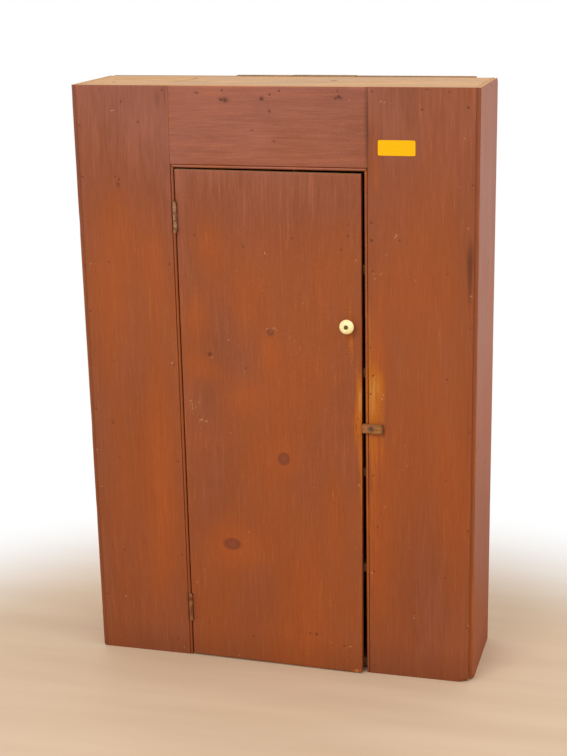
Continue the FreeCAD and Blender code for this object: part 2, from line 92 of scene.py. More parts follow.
def corner(name, across, upward):
    """The outermost vertex of a piece towards one of its corners, such as (-1, 1) for the top left."""
    vertices = [v.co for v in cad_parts[name].data.vertices]
    return np.array(max(vertices, key=lambda v: across * v.x + upward * v.z))


side_low, side_high = low_high("side_right")
rail_low, rail_high = low_high("top_rail")
FRONT_Y, FRONT_IN = rail_low[1], rail_high[1]
CASE_BACK, CASE_HALF, CASE_TOP = side_high[1], side_high[0], side_high[2]
OPENING_LEFT = low_high("stile_left")[1][0]
OPENING_RIGHT = low_high("stile_right")[0][0]
OPENING_TOP = rail_low[2]
print("opening:", round(OPENING_RIGHT - OPENING_LEFT, 4), "wide,", round(OPENING_TOP, 4), "high")

# %% [markdown]
# ## Camera
#
# The cupboard is seen from a little to its right and from above its top, with a longish lens, so its
# upright lines lean in only slightly. The small lens shift keeps it a little left of and below the lens's
# middle.

# %% Place the camera
VIEW_TURN = math.radians(15.11)
VIEW_DROP = math.radians(16.67)
VIEW_ROLL = math.radians(-1.02)
VIEW_DISTANCE = 3.792
VIEW_AIM = Vector((0.0744, FRONT_Y, 0.7315))
IMAGE_HEIGHT = 756
FOCAL_PIXELS = 1533.0
SHIFT_PIXELS = (-21.8, 19.9)
SENSOR = 36.0

ahead = Vector((-math.sin(VIEW_TURN) * math.cos(VIEW_DROP),
                math.cos(VIEW_TURN) * math.cos(VIEW_DROP), -math.sin(VIEW_DROP)))
level = Vector((math.cos(VIEW_TURN), math.sin(VIEW_TURN), 0))
upright = level.cross(ahead)
view_right = level * math.cos(VIEW_ROLL) + upright * math.sin(VIEW_ROLL)
view_up = upright * math.cos(VIEW_ROLL) - level * math.sin(VIEW_ROLL)
lens = bpy.data.cameras.new("view")
lens.sensor_width = SENSOR
lens.lens = SENSOR * FOCAL_PIXELS / IMAGE_HEIGHT
lens.shift_x = SHIFT_PIXELS[0] / IMAGE_HEIGHT
lens.shift_y = SHIFT_PIXELS[1] / IMAGE_HEIGHT
camera = bpy.data.objects.new("view", lens)
bpy.context.scene.collection.objects.link(camera)
camera.matrix_world = Matrix((view_right, view_up, -ahead)).transposed().to_4x4()
camera.location = VIEW_AIM - ahead * VIEW_DISTANCE
bpy.context.scene.camera = camera
print("lens:", round(lens.lens, 1), "mm")

# %% [markdown]
# ## Colours and nodes
#
# Blender mixes light in linear colour, but colours are easier to read as the hex values of a paint chart,
# so one function turns the one into the other. A second small function adds a node. What goes into its
# sockets is given in the order in which the node editor shows them, as numbers, hex colours or outputs of
# other nodes. Its options, and sockets further down, go by name. Each material gets its own `add`, which
# is that function for its own tree.

# %% Helpers for every material


def linear(chart_hex):
    """A paint chart's hex colour as Blender's linear RGBA."""
    parts = [int(chart_hex[i:i + 2], 16) / 255 for i in (1, 3, 5)]
    return tuple(c / 12.92 if c <= 0.04045 else ((c + 0.055) / 1.055) ** 2.4 for c in parts) + (1.0,)


def node(tree, kind, *sockets, out=None, **settings):
    """Add one node and give the output called out, or else the first output that its options leave in use."""
    made = tree.nodes.new("ShaderNode" + kind)
    named = []
    for name, value in settings.items():
        if hasattr(made, name):
            setattr(made, name, value)
        else:
            named.append((made.inputs[name.replace("_", " ")], value))
    shown = [socket for socket in made.inputs if socket.enabled]
    for socket, value in [*zip(shown, sockets), *named]:
        if isinstance(value, bpy.types.NodeSocket):
            tree.links.new(value, socket)
        else:
            socket.default_value = linear(value) if isinstance(value, str) else value
    return made.outputs[out] if out else next((s for s in made.outputs if s.enabled), None)


def new_material(name):
    """An empty node material, and the function that adds a node to it."""
    material = bpy.data.materials.new(name)
    material.use_nodes = True
    material.node_tree.nodes.clear()
    return material, functools.partial(node, material.node_tree)


def layered(add, colour, *layers):
    """Lay tones over a colour: each is (tone, level, from, to), and perhaps its share at from and at to."""
    for tone, level, *span in layers:
        share = add("MapRange", level, *span)
        colour = add("Mix", share, colour, tone, data_type="RGBA")
    return colour


def finish(material, add, height, strength, distance, **sockets):
    """End a material with its bump, its shader's other sockets by name, and its output."""
    bump = add("Bump", strength, distance, Height=height)
    add("OutputMaterial", add("BsdfPrincipled", Normal=bump, **sockets))
    return material


print("barn red is", [round(c, 3) for c in linear("#9A4A28")])

# %% [markdown]
# ## Figure of the pine
#
# Pine shows its growth rings as pale early wood that darkens slowly and ends in a hard brown line. Each
# board carries its own place in the tree as an attribute called grain: across the board, through it and
# along it, measured from the heart of the trunk. The rings are then simply the distance from the heart,
# bent a little on the way up the tree, and end grain and flat faces agree by themselves. A knot pushes
# the rings aside. Real rings are 2 to 5 mm apart.

# %% Grow the pine
RING_SPACING = 4.6 * MM
RING_WANDER = 18 * MM
RING_TAPER = 0.012          # how much nearer the heart the rings come for each metre up
RING_PUSH = 2.5 * RING_SPACING
BEND_SCALE = 11.0           # the trunk bends about every 90 mm
YEARS_SCALE = 60.0          # good and poor years come in groups of about 17 mm
FIBRE_WIDTH = 2.6 * MM      # real fibres are far finer; these are drawn coarse enough to show
STREAK_WIDTH = 9 * MM
CLOUD_WIDTH = 110 * MM
SPECK_WIDTH = 2.4 * MM


def pine_figure(add):
    """One board's late wood, fibres, streaks, clouds, specks, dirt and painted shade, chips and knots as
    sockets.
    """
    grain = add("Attribute", attribute_name="grain", out="Vector")
    marks = add("Attribute", attribute_name="marks", out="Vector")
    dark, pale, knot = add("SeparateXYZ", marks).node.outputs

    # The rings: how far a place is from the heart, and from that how late in its year it grew.
    slow = add("VectorMath", grain, (1, 1, 0.1), operation="MULTIPLY")
    wander = add("TexNoise", slow, BEND_SCALE, 2.0, out="Color")
    bent = add("VectorMath", wander, (RING_WANDER, RING_WANDER, 0), grain, operation="MULTIPLY_ADD")
    flat = add("VectorMath", bent, (1, 1, 0), operation="MULTIPLY")
    heart = add("VectorMath", flat, operation="LENGTH")
    along = add("SeparateXYZ", grain, out="Z")
    tapered = add("Math", along, RING_TAPER, heart, operation="MULTIPLY_ADD")
    pushed = add("Math", knot, RING_PUSH, tapered, operation="MULTIPLY_ADD")
    years = add("TexNoise", pushed, YEARS_SCALE, 1.0, noise_dimensions="1D")
    uneven = add("Math", years, RING_PUSH, pushed, operation="MULTIPLY_ADD")
    turns = add("Math", uneven, RING_SPACING, operation="DIVIDE")
    season = add("Math", turns, operation="FRACT")
    darkening = add("MapRange", season, 0.3, 0.88, interpolation_type="SMOOTHSTEP")
    ending = add("MapRange", season, 0.88, 1.0, 1.0, 0.0)
    late = add("Math", darkening, ending, operation="MULTIPLY")

    stretched = add("VectorMath", bent, (1, 1, 0.05), operation="MULTIPLY")
    fibre = add("TexNoise", stretched, 1 / FIBRE_WIDTH, 3.0, 0.6)
    streak = add("TexNoise", stretched, 1 / STREAK_WIDTH, 4.0, 0.65)
    longish = add("VectorMath", grain, (1, 1, 0.45), operation="MULTIPLY")
    cloud = add("TexNoise", longish, 1 / CLOUD_WIDTH, 4.0, 0.55)

    # Specks break every mark up, so that it looks knocked rather than dotted.
    speck = add("TexNoise", grain, 1 / SPECK_WIDTH, 2.0)
    mottle = add("MapRange", speck, 0.35, 0.6, 0.6, 1.0)
    # The dark marks hold dirt and the turn button's painted shadow, broken up by the specks.
    grime_and_shade = add("Math", dark, mottle, operation="MULTIPLY")
    ragged = add("Math", speck, 3.0, pale, operation="MULTIPLY_ADD")
    knocked = add("MapRange", ragged, 2.2, 2.65)
    return SimpleNamespace(late=late, fibre=fibre, streak=streak, cloud=cloud, speck=speck, dark=grime_and_shade,
                           pale=knocked, knot=knot)


print("rings every", RING_SPACING / MM, "mm")

# %% [markdown]
# Bare pine takes its colour from its rings and fibres, over a ground that has aged in clouds. Paint and
# grime lie over it in layers, and each is drawn along the grain by the same streaks and fibres, as a
# brush or a rag leaves it.

# %% Colour the pine
KNOT_WOOD = "#5B3018"


def pine_colour(add, figure, early, late, aged):
    """The bare wood's colour: rings and fibres over an aged ground, with brown knots."""
    ground = layered(add, early, (aged, figure.cloud, 0.35, 0.65))
    soft = add("Math", figure.late, 0.7, operation="MULTIPLY")
    ringed = add("Mix", soft, ground, late, data_type="RGBA")
    shade = add("MapRange", figure.fibre, 0.3, 0.7, 0.86, 1.1)
    combed = add("VectorMath", ringed, shade, operation="SCALE")
    return layered(add, combed, (KNOT_WOOD, figure.knot, 0.85, 1.15))


def brushed(add, figure, colour, strength):
    """The colour made deeper and lighter by streaks, fibres, specks and clouds."""
    along = add("Math", figure.streak, figure.fibre, operation="ADD")
    across = add("Math", figure.speck, figure.cloud, operation="ADD")
    depth = add("Math", along, across, operation="ADD")
    shade = add("MapRange", depth, 1.55, 2.45, 1 - strength, 1 + strength)
    return add("VectorMath", colour, shade, operation="SCALE")


print("knots in bare wood are", KNOT_WOOD)

# %% [markdown]
# ## Red-washed pine
#
# The front, the sides and the door wear one thin coat of oil paint, brushed along the grain. Where the
# coat is thick it has gone dull and brown, and where it is thickest pale mauve; where it is thin the warm
# wood glows through as orange. Over the top of the front this pale mauve also paints the sheen of the
# bright room reflected there. Hands, the door's swing and the turn button have rubbed some places down to
# golden wood, and every sharp corner first. The attribute called coat steers this with three numbers: how
# far the paint reaches, how much it is rubbed, and how thick the film is, a number that also carries the
# painted sheen. Noise along the grain breaks their edges up. Old oil paint has a dull soft gloss: its
# roughness runs from 0.42 where the film is thick to 0.54 where it is thin, and it is duller still
# towards the foot.

# %% Mix the red wash
# Pale mauve: the thickest film, and the painted sheen over the top of the front.
BLOOM_AND_SHEEN = "#985944"
THICK_FILM = "#924D2D"
FULL_FILM = "#9B4F20"
THIN_FILM = "#AC541E"
GOLDEN_WOOD = "#BE6610"
BARE_SPOT = "#CC8A38"
SCUFF = "#B98463"
CHIP = "#D39A66"
# Dark marks: dirt in knocks, at the foot and in patches, and the painted shadow of the turn button.
DIRT_AND_SHADE = "#481E09"
KNOT_DISC = "#70382A"
KNOT_RIM = "#44220F"
THIN_ROUGHNESS, THICK_ROUGHNESS, WOOD_ROUGHNESS = 0.54, 0.42, 0.75
FOOT_DULLING = 0.22
PAINT_SPECULAR = 0.3


def red_washed_pine(name, early, late, aged):
    """Oil paint brushed thin over planed pine: a dull soft gloss, streaked with the grain and rubbed off."""
    material, add = new_material(name)
    figure = pine_figure(add)
    coat = add("Attribute", attribute_name="coat", out="Vector")
    painted, rubbed, film_and_sheen = add("SeparateXYZ", coat).node.outputs

    # Film thickness, with the painted sheen over the top of the front: the board's own patches, broken
    # by clouds and by streaks along the grain.
    broken = ((figure.cloud, 1.6), (figure.streak, 1.3), (figure.late, -0.12), (figure.fibre, 0.4))
    for pattern, weight in broken:
        film_and_sheen = add("Math", pattern, weight, film_and_sheen, operation="MULTIPLY_ADD")
    # Thin film goes orange and thick film brown; the pale mauve is thickest film and painted sheen.
    paint = layered(add, FULL_FILM, (THIN_FILM, film_and_sheen, 1.8, 0.9), (THICK_FILM, film_and_sheen, 1.5, 2.35),
                    (BLOOM_AND_SHEEN, film_and_sheen, 2.3, 3.5))
    paint = brushed(add, figure, paint, 0.2)

    # Cleaning cloths have scuffed pale lines along the highest fibres.
    paint = layered(add, paint, (SCUFF, figure.fibre, 0.62, 0.78, 0, 0.16))

    # Knots telegraph through thin paint as dusky discs with a darker rim.
    crooked = add("Math", figure.speck, 0.35, figure.knot, operation="MULTIPLY_ADD")
    past_rim = add("Math", crooked, 1.3, operation="SUBTRACT")
    from_rim = add("Math", past_rim, operation="ABSOLUTE")
    paint = layered(add, paint, (KNOT_DISC, crooked, 0.95, 1.45, 0, 0.6),
                    (KNOT_RIM, from_rim, 0, 0.4, 0.25, 0))

    # Rubbed places go golden first, then bare.
    for pattern, weight in ((figure.streak, 2.0), (figure.speck, 1.2), (figure.fibre, 0.6)):
        rubbed = add("Math", pattern, weight, rubbed, operation="MULTIPLY_ADD")
    paint = layered(add, paint, (GOLDEN_WOOD, rubbed, 2.15, 2.85), (BARE_SPOT, rubbed, 3.1, 3.6))

    # Knocks are pale where the paint chipped off and dark where dirt filled them, and mops splashed the foot.
    # The dark marks also paint the shadow under and beside the turn button.
    place = add("TexCoord", out="Object")
    height = add("SeparateXYZ", place, out="Z")
    mopped = add("MapRange", height, 0, 0.09, 0.45, 0)
    splashed = add("Math", mopped, figure.cloud, operation="MULTIPLY")
    for share, tone in ((figure.pale, CHIP), (figure.dark, DIRT_AND_SHADE), (splashed, DIRT_AND_SHADE)):
        paint = add("Mix", share, paint, tone, data_type="RGBA")

    # The coat ends raggedly where the brush left the board.
    wood = pine_colour(add, figure, early, late, aged)
    ragged = add("Math", figure.streak, 0.5, painted, operation="MULTIPLY_ADD")
    reach = add("MapRange", ragged, 0.68, 0.78)
    colour = add("Mix", reach, wood, paint, data_type="RGBA")

    # Mops and boots have dulled the foot.
    gloss = add("MapRange", film_and_sheen, 1.0, 2.5, THIN_ROUGHNESS, THICK_ROUGHNESS)
    scrubbed = add("MapRange", height, 0.1, 0.85, FOOT_DULLING, 0)
    dulled = add("Math", gloss, scrubbed, operation="ADD")
    rough = add("Mix", reach, WOOD_ROUGHNESS, dulled, data_type="FLOAT")
    raised = add("Math", figure.late, 0.5, figure.fibre, operation="MULTIPLY_ADD")
    return finish(material, add, raised, 0.35, 0.3 * MM, Base_Color=colour, Roughness=rough,
                  Specular_IOR_Level=PAINT_SPECULAR)


# The door's bare inner face has gone darker than the ends of the boards.
RED_PINE = red_washed_pine("red_washed_pine_brushed", "#DDA66A", "#A87444", "#C89E74")
DOOR_PINE = red_washed_pine("red_washed_pine_door", "#C08A54", "#8C6036", "#A67C52")
print("painted pine:", len(RED_PINE.node_tree.nodes), "nodes")

# %% [markdown]
# ## Bare pine
#
# The top, the shelves and the back were never painted. Old bare pine goes from cream to a dry tan and
# then to grey brown, and dirt settles in its open grain. It is matt: roughness 0.6 to 0.82.

# %% Age the bare pine
CHECK_DIRT = "#3A2414"


def bare_pine(name, early, late, aged, dirt):
    """Unpainted planed pine, dry and matt, with grime in clouds and in its checks."""
    material, add = new_material(name)
    figure = pine_figure(add)
    wood = pine_colour(add, figure, early, late, aged)
    stained = layered(add, wood, (dirt, figure.cloud, 0.45, 0.75, 0, 0.5))
    drawn = brushed(add, figure, stained, 0.22)
    colour = add("Mix", figure.dark, drawn, CHECK_DIRT, data_type="RGBA")
    dry = add("MapRange", figure.fibre, 0, 1, 0.6, 0.82)
    raised = add("Math", figure.late, 0.7, figure.fibre, operation="MULTIPLY_ADD")
    return finish(material, add, raised, 0.5, 0.5 * MM, Base_Color=colour, Roughness=dry)


TOP_PINE = bare_pine("bare_pine_planed", "#E2AC70", "#A87444", "#CFA67E", "#A08468")
INNER_PINE = bare_pine("bare_pine_inside", "#8F6236", "#6A4320", "#7A5230", "#4A2F18")
BACK_PINE = bare_pine("bare_pine_weathered", "#AD8558", "#7E5731", "#8C6B48", "#5A432C")
print("bare pine:", TOP_PINE.name, INNER_PINE.name, BACK_PINE.name)

# %% [markdown]
# ## Boards as meshes
#
# A board is a closed outline carried along its length: that is how it was planed, and it keeps the mesh
# to tidy quads. The outline may change on the way, so one board can have a housing cut across it, a hinge
# recess or a mitre. Every corner of it is a small curve whose radius wanders, because hand-worn corners
# are never even.

# %% Draw an outline with rounded corners
TURNS = 3
CLOSEST = 0.5 * MM


def rounded(corners, radii, cuts):
    """Points round a closed outline: each corner as a short curve, each side divided where cuts says."""
    corners = [np.array(point, float) for point in corners]
    points = []
    for i, here in enumerate(corners):
        after = (i + 1) % len(corners)
        towards = corners[after] - here
        towards /= np.linalg.norm(towards)
        back = corners[i - 1] - here
        start = here + back / np.linalg.norm(back) * radii[i]
        end = here + towards * radii[i]
        for t in np.linspace(0, 1, TURNS + 1):
            points.append((1 - t) ** 2 * start + 2 * t * (1 - t) * here + t ** 2 * end)
        far = corners[after] - towards * radii[after]
        points += [end + (far - end) * share for share in cuts[i]]
    return np.array(points)


def tag_outline(cuts, worn, coated, dirty):
    """For each outline point, from values for each corner and side: wear, paint and dirt."""
    tags = []
    for i, divisions in enumerate(cuts):
        for t in np.linspace(0, 1, TURNS + 1):
            wear = worn[i] * (0.35 + 0.65 * math.sin(math.pi * t))
            tags.append((wear, (1 - t) * coated[i - 1] + t * coated[i], dirty[i]))
        grime = (dirty[i] + dirty[(i + 1) % len(cuts)]) / 2
        tags += [(0.0, coated[i], grime)] * len(divisions)
    return np.array(tags)


def spread(low, high, spacing, spots=()):
    """Places from low to high, evenly spaced, with more of them around each (place, reach) spot."""
    places = list(np.linspace(low, high, max(2, round((high - low) / spacing) + 1)))
    places += [middle + reach * step for middle, reach in spots for step in (-1, -0.4, 0.4, 1)]
    kept = [low]
    for place in sorted(places):
        if place - kept[-1] > CLOSEST and high - place > CLOSEST:
            kept.append(place)
    return np.array(kept + [high])


def shares(start, end, places):
    """Places on a side as shares of the way from its start to its end, for rounded()."""
    found = sorted((place - start) / (end - start) for place in places)
    return [share for share in found if 0.001 < share < 0.999]


def divided(start, end, spacing, spots=()):
    """The shares of a side that is divided evenly, and finer around spots."""
    return shares(start, end, spread(start, end, spacing, spots))


def worn_radius(size, station, seed):
    """A corner's radius at one place along the board: never even, with a deeper knock now and then."""
    wave = noise.noise((station * 9, seed, 0.5)) + 0.5 * noise.noise((station * 45, seed, 3.5))
    knock = max(0.0, noise.noise((station * 16, seed, 8.5)) - 0.35) * 3
    return size * (1 + 0.45 * wave + knock)


print("a square has", len(rounded([(0, 0), (1, 0), (1, 1), (0, 1)], [0.1] * 4, [()] * 4)), "outline points")

# %% [markdown]
# ## Marks
#
# A cupboard of this age is covered with small events: nail holes, chips, knots. They are listed by where
# they are on the front, in millimetres across from the middle and up from the floor. Each is pressed into
# the mesh as a shallow dent and noted in the attribute called marks, so that its colour and its shape
# always lie together.

# %% List the knots, holes and chips of the front
# Knots: across, up, half width, half height.
FRONT_KNOTS = [(-11, 896, 9, 10), (16, 568, 15, 16), (-127, 326, 23, 15)]
# Nail holes and dirty dents: across, up, radius.
FRONT_DENTS = [
    (-490, 1411, 4), (-485, 1392, 3), (-45, 1386, 2.5), (-1, 1431, 3.5), (-374, 1450, 3), (-332, 1402, 3.5),
    (-120, 1457, 5), (-110, 1456, 7), (-20, 1460, 6), (0, 1470, 3), (8, 1361, 3), (-179, 1473, 3),
    (160, 1462, 4), (171, 1463, 4), (364, 1439, 3.5), (471, 1444, 3.5), (375, 1484, 3), (244, 1173, 3.5),
    (244, 1131, 4), (240, 751, 3), (240, 868, 2.5), (-492, 1043, 4), (-170, 830, 6), (-78, 799, 3),
    (312, 1133, 2.5), (95, 97, 4), (78, 98, 3), (224, 1257, 2.5), (187, 1139, 2.5), (187, 1168, 2),
    (-289, 41, 3), (256, 405, 3), (-440, 634, 3.5), (-392, 1250, 4), (-389, 1262, 3), (-399, 1268, 2.5),
    (167, 1466, 5),
]
# Chips down to pale wood: across, up, radius.
FRONT_CHIPS = [
    (-398, 1429, 4), (-394, 1431, 2.5), (-233, 1326, 3), (-29, 1268, 2), (267, 1457, 4), (276, 1456, 3),
    (464, 1376, 3.5), (221, 1332, 4), (194, 1460, 3), (304, 1145, 3.5), (301, 1139, 3), (280, 1098, 4),
    (-147, 908, 2.5), (-1, 907, 4), (5, 901, 3), (-19, 904, 2.5), (63, 855, 3), (-164, 824, 3),
    (-225, 706, 3), (-203, 702, 3), (-220, 676, 3), (-200, 657, 3.5), (-186, 653, 4), (-208, 690, 2),
    (-121, 628, 2.5), (58, 678, 2), (72, 970, 2), (-27, 998, 3), (-21, 1090, 2.5), (-272, 802, 4),
    (-488, 557, 3.5), (-475, 1051, 4), (-466, 1050, 3), (-457, 648, 3), (-428, 608, 2.5), (-120, 870, 2),
    (-92, 1047, 2.5), (247, 1053, 3), (265, 1053, 2.5), (251, 1039, 2.5), (350, 1039, 4), (483, 1006, 4),
    (268, 740, 4), (272, 750, 3), (250, 796, 3), (205, 1081, 3), (195, 1081, 2), (326, 625, 4),
    (331, 573, 3), (304, 974, 2), (103, 685, 2), (-229, 209, 4), (-81, 364, 3.5), (-429, 21, 4),
    (-270, 20, 4), (-116, 13, 3.5), (-481, 457, 3), (-430, 151, 3), (17, 53, 2), (94, 497, 3),
    (209, 511, 5), (350, 168, 5), (185, 73, 4), (135, 79, 3), (338, 357, 3.5), (275, 461, 3), (240, 280, 4),
    (203, 8, 6), (201, 347, 3), (487, 158, 3), (475, 1166, 2.5), (452, 1264, 2),
]
# Chips on the right side: back from the front, up, radius.
SIDE_CHIPS = [(128, 1417, 3.5), (168, 1358, 3), (164, 1073, 3), (10, 1180, 3), (14, 610, 3), (6, 240, 3)]
print(len(FRONT_KNOTS), "knots,", len(FRONT_DENTS), "dents,", len(FRONT_CHIPS) + len(SIDE_CHIPS), "chips")

# %% [markdown]
# The broad differences in the paint are patches, each a soft oval: where the film stayed thick and dull,
# where it is thin and warm, where it is rubbed and where it is dirty. One wide film patch over the top
# paints the sheen that the upper front reflects, and two dark patches by the turn button paint its shadow
# along with dirt.

# %% List the patches of the paint
# Across, up, half width, half height, and thickness: above nought dull and mauve, below it warm. The first,
# wide patch over the top paints the sheen reflected on the upper front as a paler film.
FILM_AND_SHEEN_PATCHES = [
    (-120, 1560, 520, 300, 2.6), (-380, 1480, 60, 60, 0.3), (440, 1520, 120, 200, -0.3),
    (-390, 1200, 55, 150, -0.25), (-304, 1070, 30, 120, -0.45), (-420, 900, 50, 300, -0.2),
    (-320, 680, 35, 190, -0.45), (-312, 440, 38, 230, -0.75), (-367, 736, 50, 120, 0.15),
    (-480, 500, 25, 420, 0.35), (-165, 1105, 45, 70, -0.5), (-210, 1050, 40, 90, 0.35),
    (-128, 880, 70, 110, 0.5), (-198, 932, 38, 55, -0.55), (-215, 780, 25, 60, -0.35),
    (-197, 710, 45, 70, 0.55), (-176, 790, 40, 35, -0.6), (-88, 725, 60, 50, -0.6),
    (-16, 840, 22, 60, -0.7), (-82, 933, 30, 90, -0.5), (-60, 1020, 60, 120, -0.2),
    (-168, 500, 60, 90, 0.35), (-200, 400, 40, 110, 0.3), (-42, 194, 60, 130, 0.35),
    (-90, 300, 70, 60, -0.4), (77, 200, 30, 200, -0.45), (148, 420, 30, 160, -0.4),
    (183, 800, 25, 110, 0.3), (60, 700, 60, 200, -0.15), (417, 800, 50, 300, -0.25),
    (300, 700, 35, 250, -0.2), (258, 370, 28, 180, -0.55), (391, 230, 50, 160, 0.4),
    (440, 520, 30, 200, -0.3), (252, 1320, 14, 90, -0.7), (150, 1230, 90, 50, 0.4),
    (470, 1250, 25, 200, 0.3), (-250, 1230, 40, 200, 0.3), (90, 1060, 120, 80, -0.15),
    (-330, 200, 50, 130, -0.3), (-127, 326, 70, 55, -0.5), (16, 568, 45, 45, -0.35),
    (258, 800, 16, 70, -1.0), (256, 600, 20, 60, -1.2), (206, 660, 10, 60, -1.0), (258, 900, 18, 110, -0.6),
    (205, 430, 25, 90, -0.4),
]
RUBBED_PATCHES = [
    (217, 740, 11, 62, 1.9), (206, 660, 9, 45, 0.95), (213, 575, 6, 55, 0.7), (263, 775, 15, 42, 1.0),
    (247, 755, 13, 60, 0.9), (240, 740, 10, 100, 0.5), (255, 705, 15, 38, 0.75), (250, 625, 18, 55, 0.55),
    (246, 500, 12, 120, 0.45), (236, 860, 7, 110, 0.6), (190, 885, 8, 45, 0.75), (188, 960, 7, 40, 0.65),
    (217, 480, 3, 130, 0.9), (203, 5, 12, 6, 1.1), (-495, 700, 4, 700, 0.2), (300, 650, 14, 40, 0.35),
    (240, 300, 8, 150, 0.4), (499, 300, 3, 220, 0.8), (499, 620, 3, 90, 0.6), (-253, 1400, 1.5, 80, 0.5),
    (150, 420, 20, 90, 0.25),
]
# Places with many tiny chips.
PALE_PATCHES = [
    (0, 700, 480, 800, 0.1), (-222, 692, 17, 16, 0.48), (-196, 655, 15, 6, 0.56), (262, 1052, 17, 14, 0.4),
    (300, 1142, 7, 18, 0.4), (-8, 903, 13, 7, 0.48), (120, 88, 24, 16, 0.32), (266, 752, 8, 18, 0.48),
    (334, 575, 16, 50, 0.24), (190, 50, 30, 50, 0.24), (-25, 1050, 20, 60, 0.19), (60, 860, 40, 30, 0.19),
    (352, 166, 14, 8, 0.48), (464, 1376, 14, 12, 0.32), (200, 1180, 12, 60, 0.19), (-380, 640, 60, 90, 0.1),
]
# Dark patches of dirt; the two along the turn button's lower edge and right end also paint its shadow.
DIRT_AND_SHADOW_PATCHES = [
    (480, 1095, 11, 55, 0.7), (480, 1025, 6, 60, 0.6), (480, 694, 3, 120, 0.4), (-281, 1460, 9, 30, 0.5),
    (-262, 1465, 4, 25, 0.35), (-113, 1457, 17, 9, 0.4), (166, 1464, 14, 8, 0.35), (219, 690, 2, 90, 0.5),
    (216, 850, 3, 200, 0.3), (-392, 1250, 10, 16, 0.35), (-440, 640, 9, 10, 0.35), (233, 775, 2.5, 80, 0.3),
    (235.5, 1400, 2.2, 130, 1.0), (203, 664, 3, 17, 0.6), (208, 686, 4, 5, 0.45), (208, 642, 4, 5, 0.45),
    (283, 740, 2, 40, 0.35), (-12, 886, 9, 5, 0.4), (273, 655, 3, 14, 0.6), (252, 646, 22, 3, 0.5),
]


def patch_sum(x, z, patches):
    """The sum of soft oval patches at each place, given in metres."""
    total = np.zeros_like(x)
    for across, height, half_width, half_height, strength in patches:
        reach = ((x / MM - across) / half_width) ** 2 + ((z / MM - height) / half_height) ** 2
        total += strength * np.exp(-reach)
    return total


print(len(FILM_AND_SHEEN_PATCHES) + len(RUBBED_PATCHES) + len(DIRT_AND_SHADOW_PATCHES), "patches")

# %% [markdown]
# The nails are iron pieces of the construction. Each board is dented a little round the heads of its
# nails, where the hammer bruised it, and that also brings the head to the surface.

# %% Find the nail heads and gather what falls on one board
HEAD_APART = 8 * MM
NAIL_DENT = 3.6
SPOT_REACH = 1.2


def heads_of(name, a, b):
    """Middles of one group's nails across two axes, with the dent's radius, in millimetres."""
    vertices = np.array([v.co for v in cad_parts[name].data.vertices])[:, [a, b]]
    found = []
    while len(vertices):
        near = np.linalg.norm(vertices - vertices[0], axis=1) < HEAD_APART
        found.append((*(vertices[near].mean(axis=0) / MM), NAIL_DENT))
        vertices = vertices[~near]
    return found


FRONT_NAILS = heads_of("face_nails", 0, 2) + heads_of("batten_nails", 0, 2)


def fine_spots(marks, axis, start=0.0):
    """Along one axis of a face, the middle of each mark and how far it needs a finer mesh."""
    return [(start + mark[axis] * MM, mark[-1 if axis else 2] * SPOT_REACH * MM) for mark in marks]


def marks_on(name):
    """The front's holes, chips, knots and nails on one board, and their fine spots across and up."""
    low, high = low_high(name)
    groups = (FRONT_DENTS, FRONT_CHIPS, FRONT_KNOTS, FRONT_NAILS)
    inside = [[mark for mark in group if low[0] < mark[0] * MM < high[0] and low[2] < mark[1] * MM < high[2]]
              for group in groups]
    every = [mark for group in inside for mark in group]
    return inside, fine_spots(every, 0), fine_spots(every, 1)


print("nails on the front:", len(FRONT_NAILS))

# %% [markdown]
# ## From outline to board
#
# The builder carries an outline along its stations, rounds both ends, lets the surface ripple by about a
# tenth of a millimetre, as a hand plane leaves it, and presses the marks in. It only takes wood away, so
# no board grows out of its construction. Last it writes the attributes that the materials read.

# %% Carry an outline along a board
END_TURNS = (0, 35, 65, 90)
WAVE_LENGTH = 55 * MM
DENT_DEPTH, CHIP_DEPTH, NAIL_DEPTH = 0.7 * MM, 0.35 * MM, 0.5 * MM
NAIL_TINT = 0.3


def ripples(points, size, seed):
    """Smooth noise from -1 to 1 at each point, its waves about size long."""
    shifted = points / size + np.array([7.31, 3.17, 5.73]) * seed
    return np.array([noise.noise(point) for point in shifted.tolist()])


def into_wood(ring):
    """Unit vectors in the outline's plane that point into the board."""
    run = np.roll(ring, -1, axis=0) - np.roll(ring, 1, axis=0)
    ahead_of = np.roll(ring, -1, axis=0)
    area = np.sum(ring[:, 0] * ahead_of[:, 1] - ahead_of[:, 0] * ring[:, 1])
    normal = np.stack([-run[:, 1], run[:, 0]], axis=1) * np.sign(area)
    return normal / np.maximum(np.linalg.norm(normal, axis=1), 1e-9)[:, None]


def carry(stations, outline, end_round, ripple, seed):
    """Points of every ring as (across, y, along), one row per ring, and 1 where a ring belongs to an end."""
    low, high = stations[0], stations[-1]
    angles = np.radians(END_TURNS)
    start = [(low + end_round * (1 - math.cos(a)), end_round * (1 - math.sin(a))) for a in angles]
    middle = [(s, 0.0) for s in stations if low + end_round < s < high - end_round]
    stop = [(low + high - s, inset) for s, inset in reversed(start)]
    rings, ends = [], []
    for station, inset in start + middle + stop:
        ring = outline(station)
        grid = np.column_stack([ring, np.full(len(ring), station)])
        wave = 0.5 + 0.5 * ripples(grid * [1, 1, 0.35], WAVE_LENGTH, seed)
        moved = ring + into_wood(ring) * (inset + ripple * wave)[:, None]
        rings.append(np.column_stack([moved, np.full(len(ring), station)]))
        ends.append(min(1.0, inset / end_round * 1.2))
    return np.array(rings), np.array(ends)


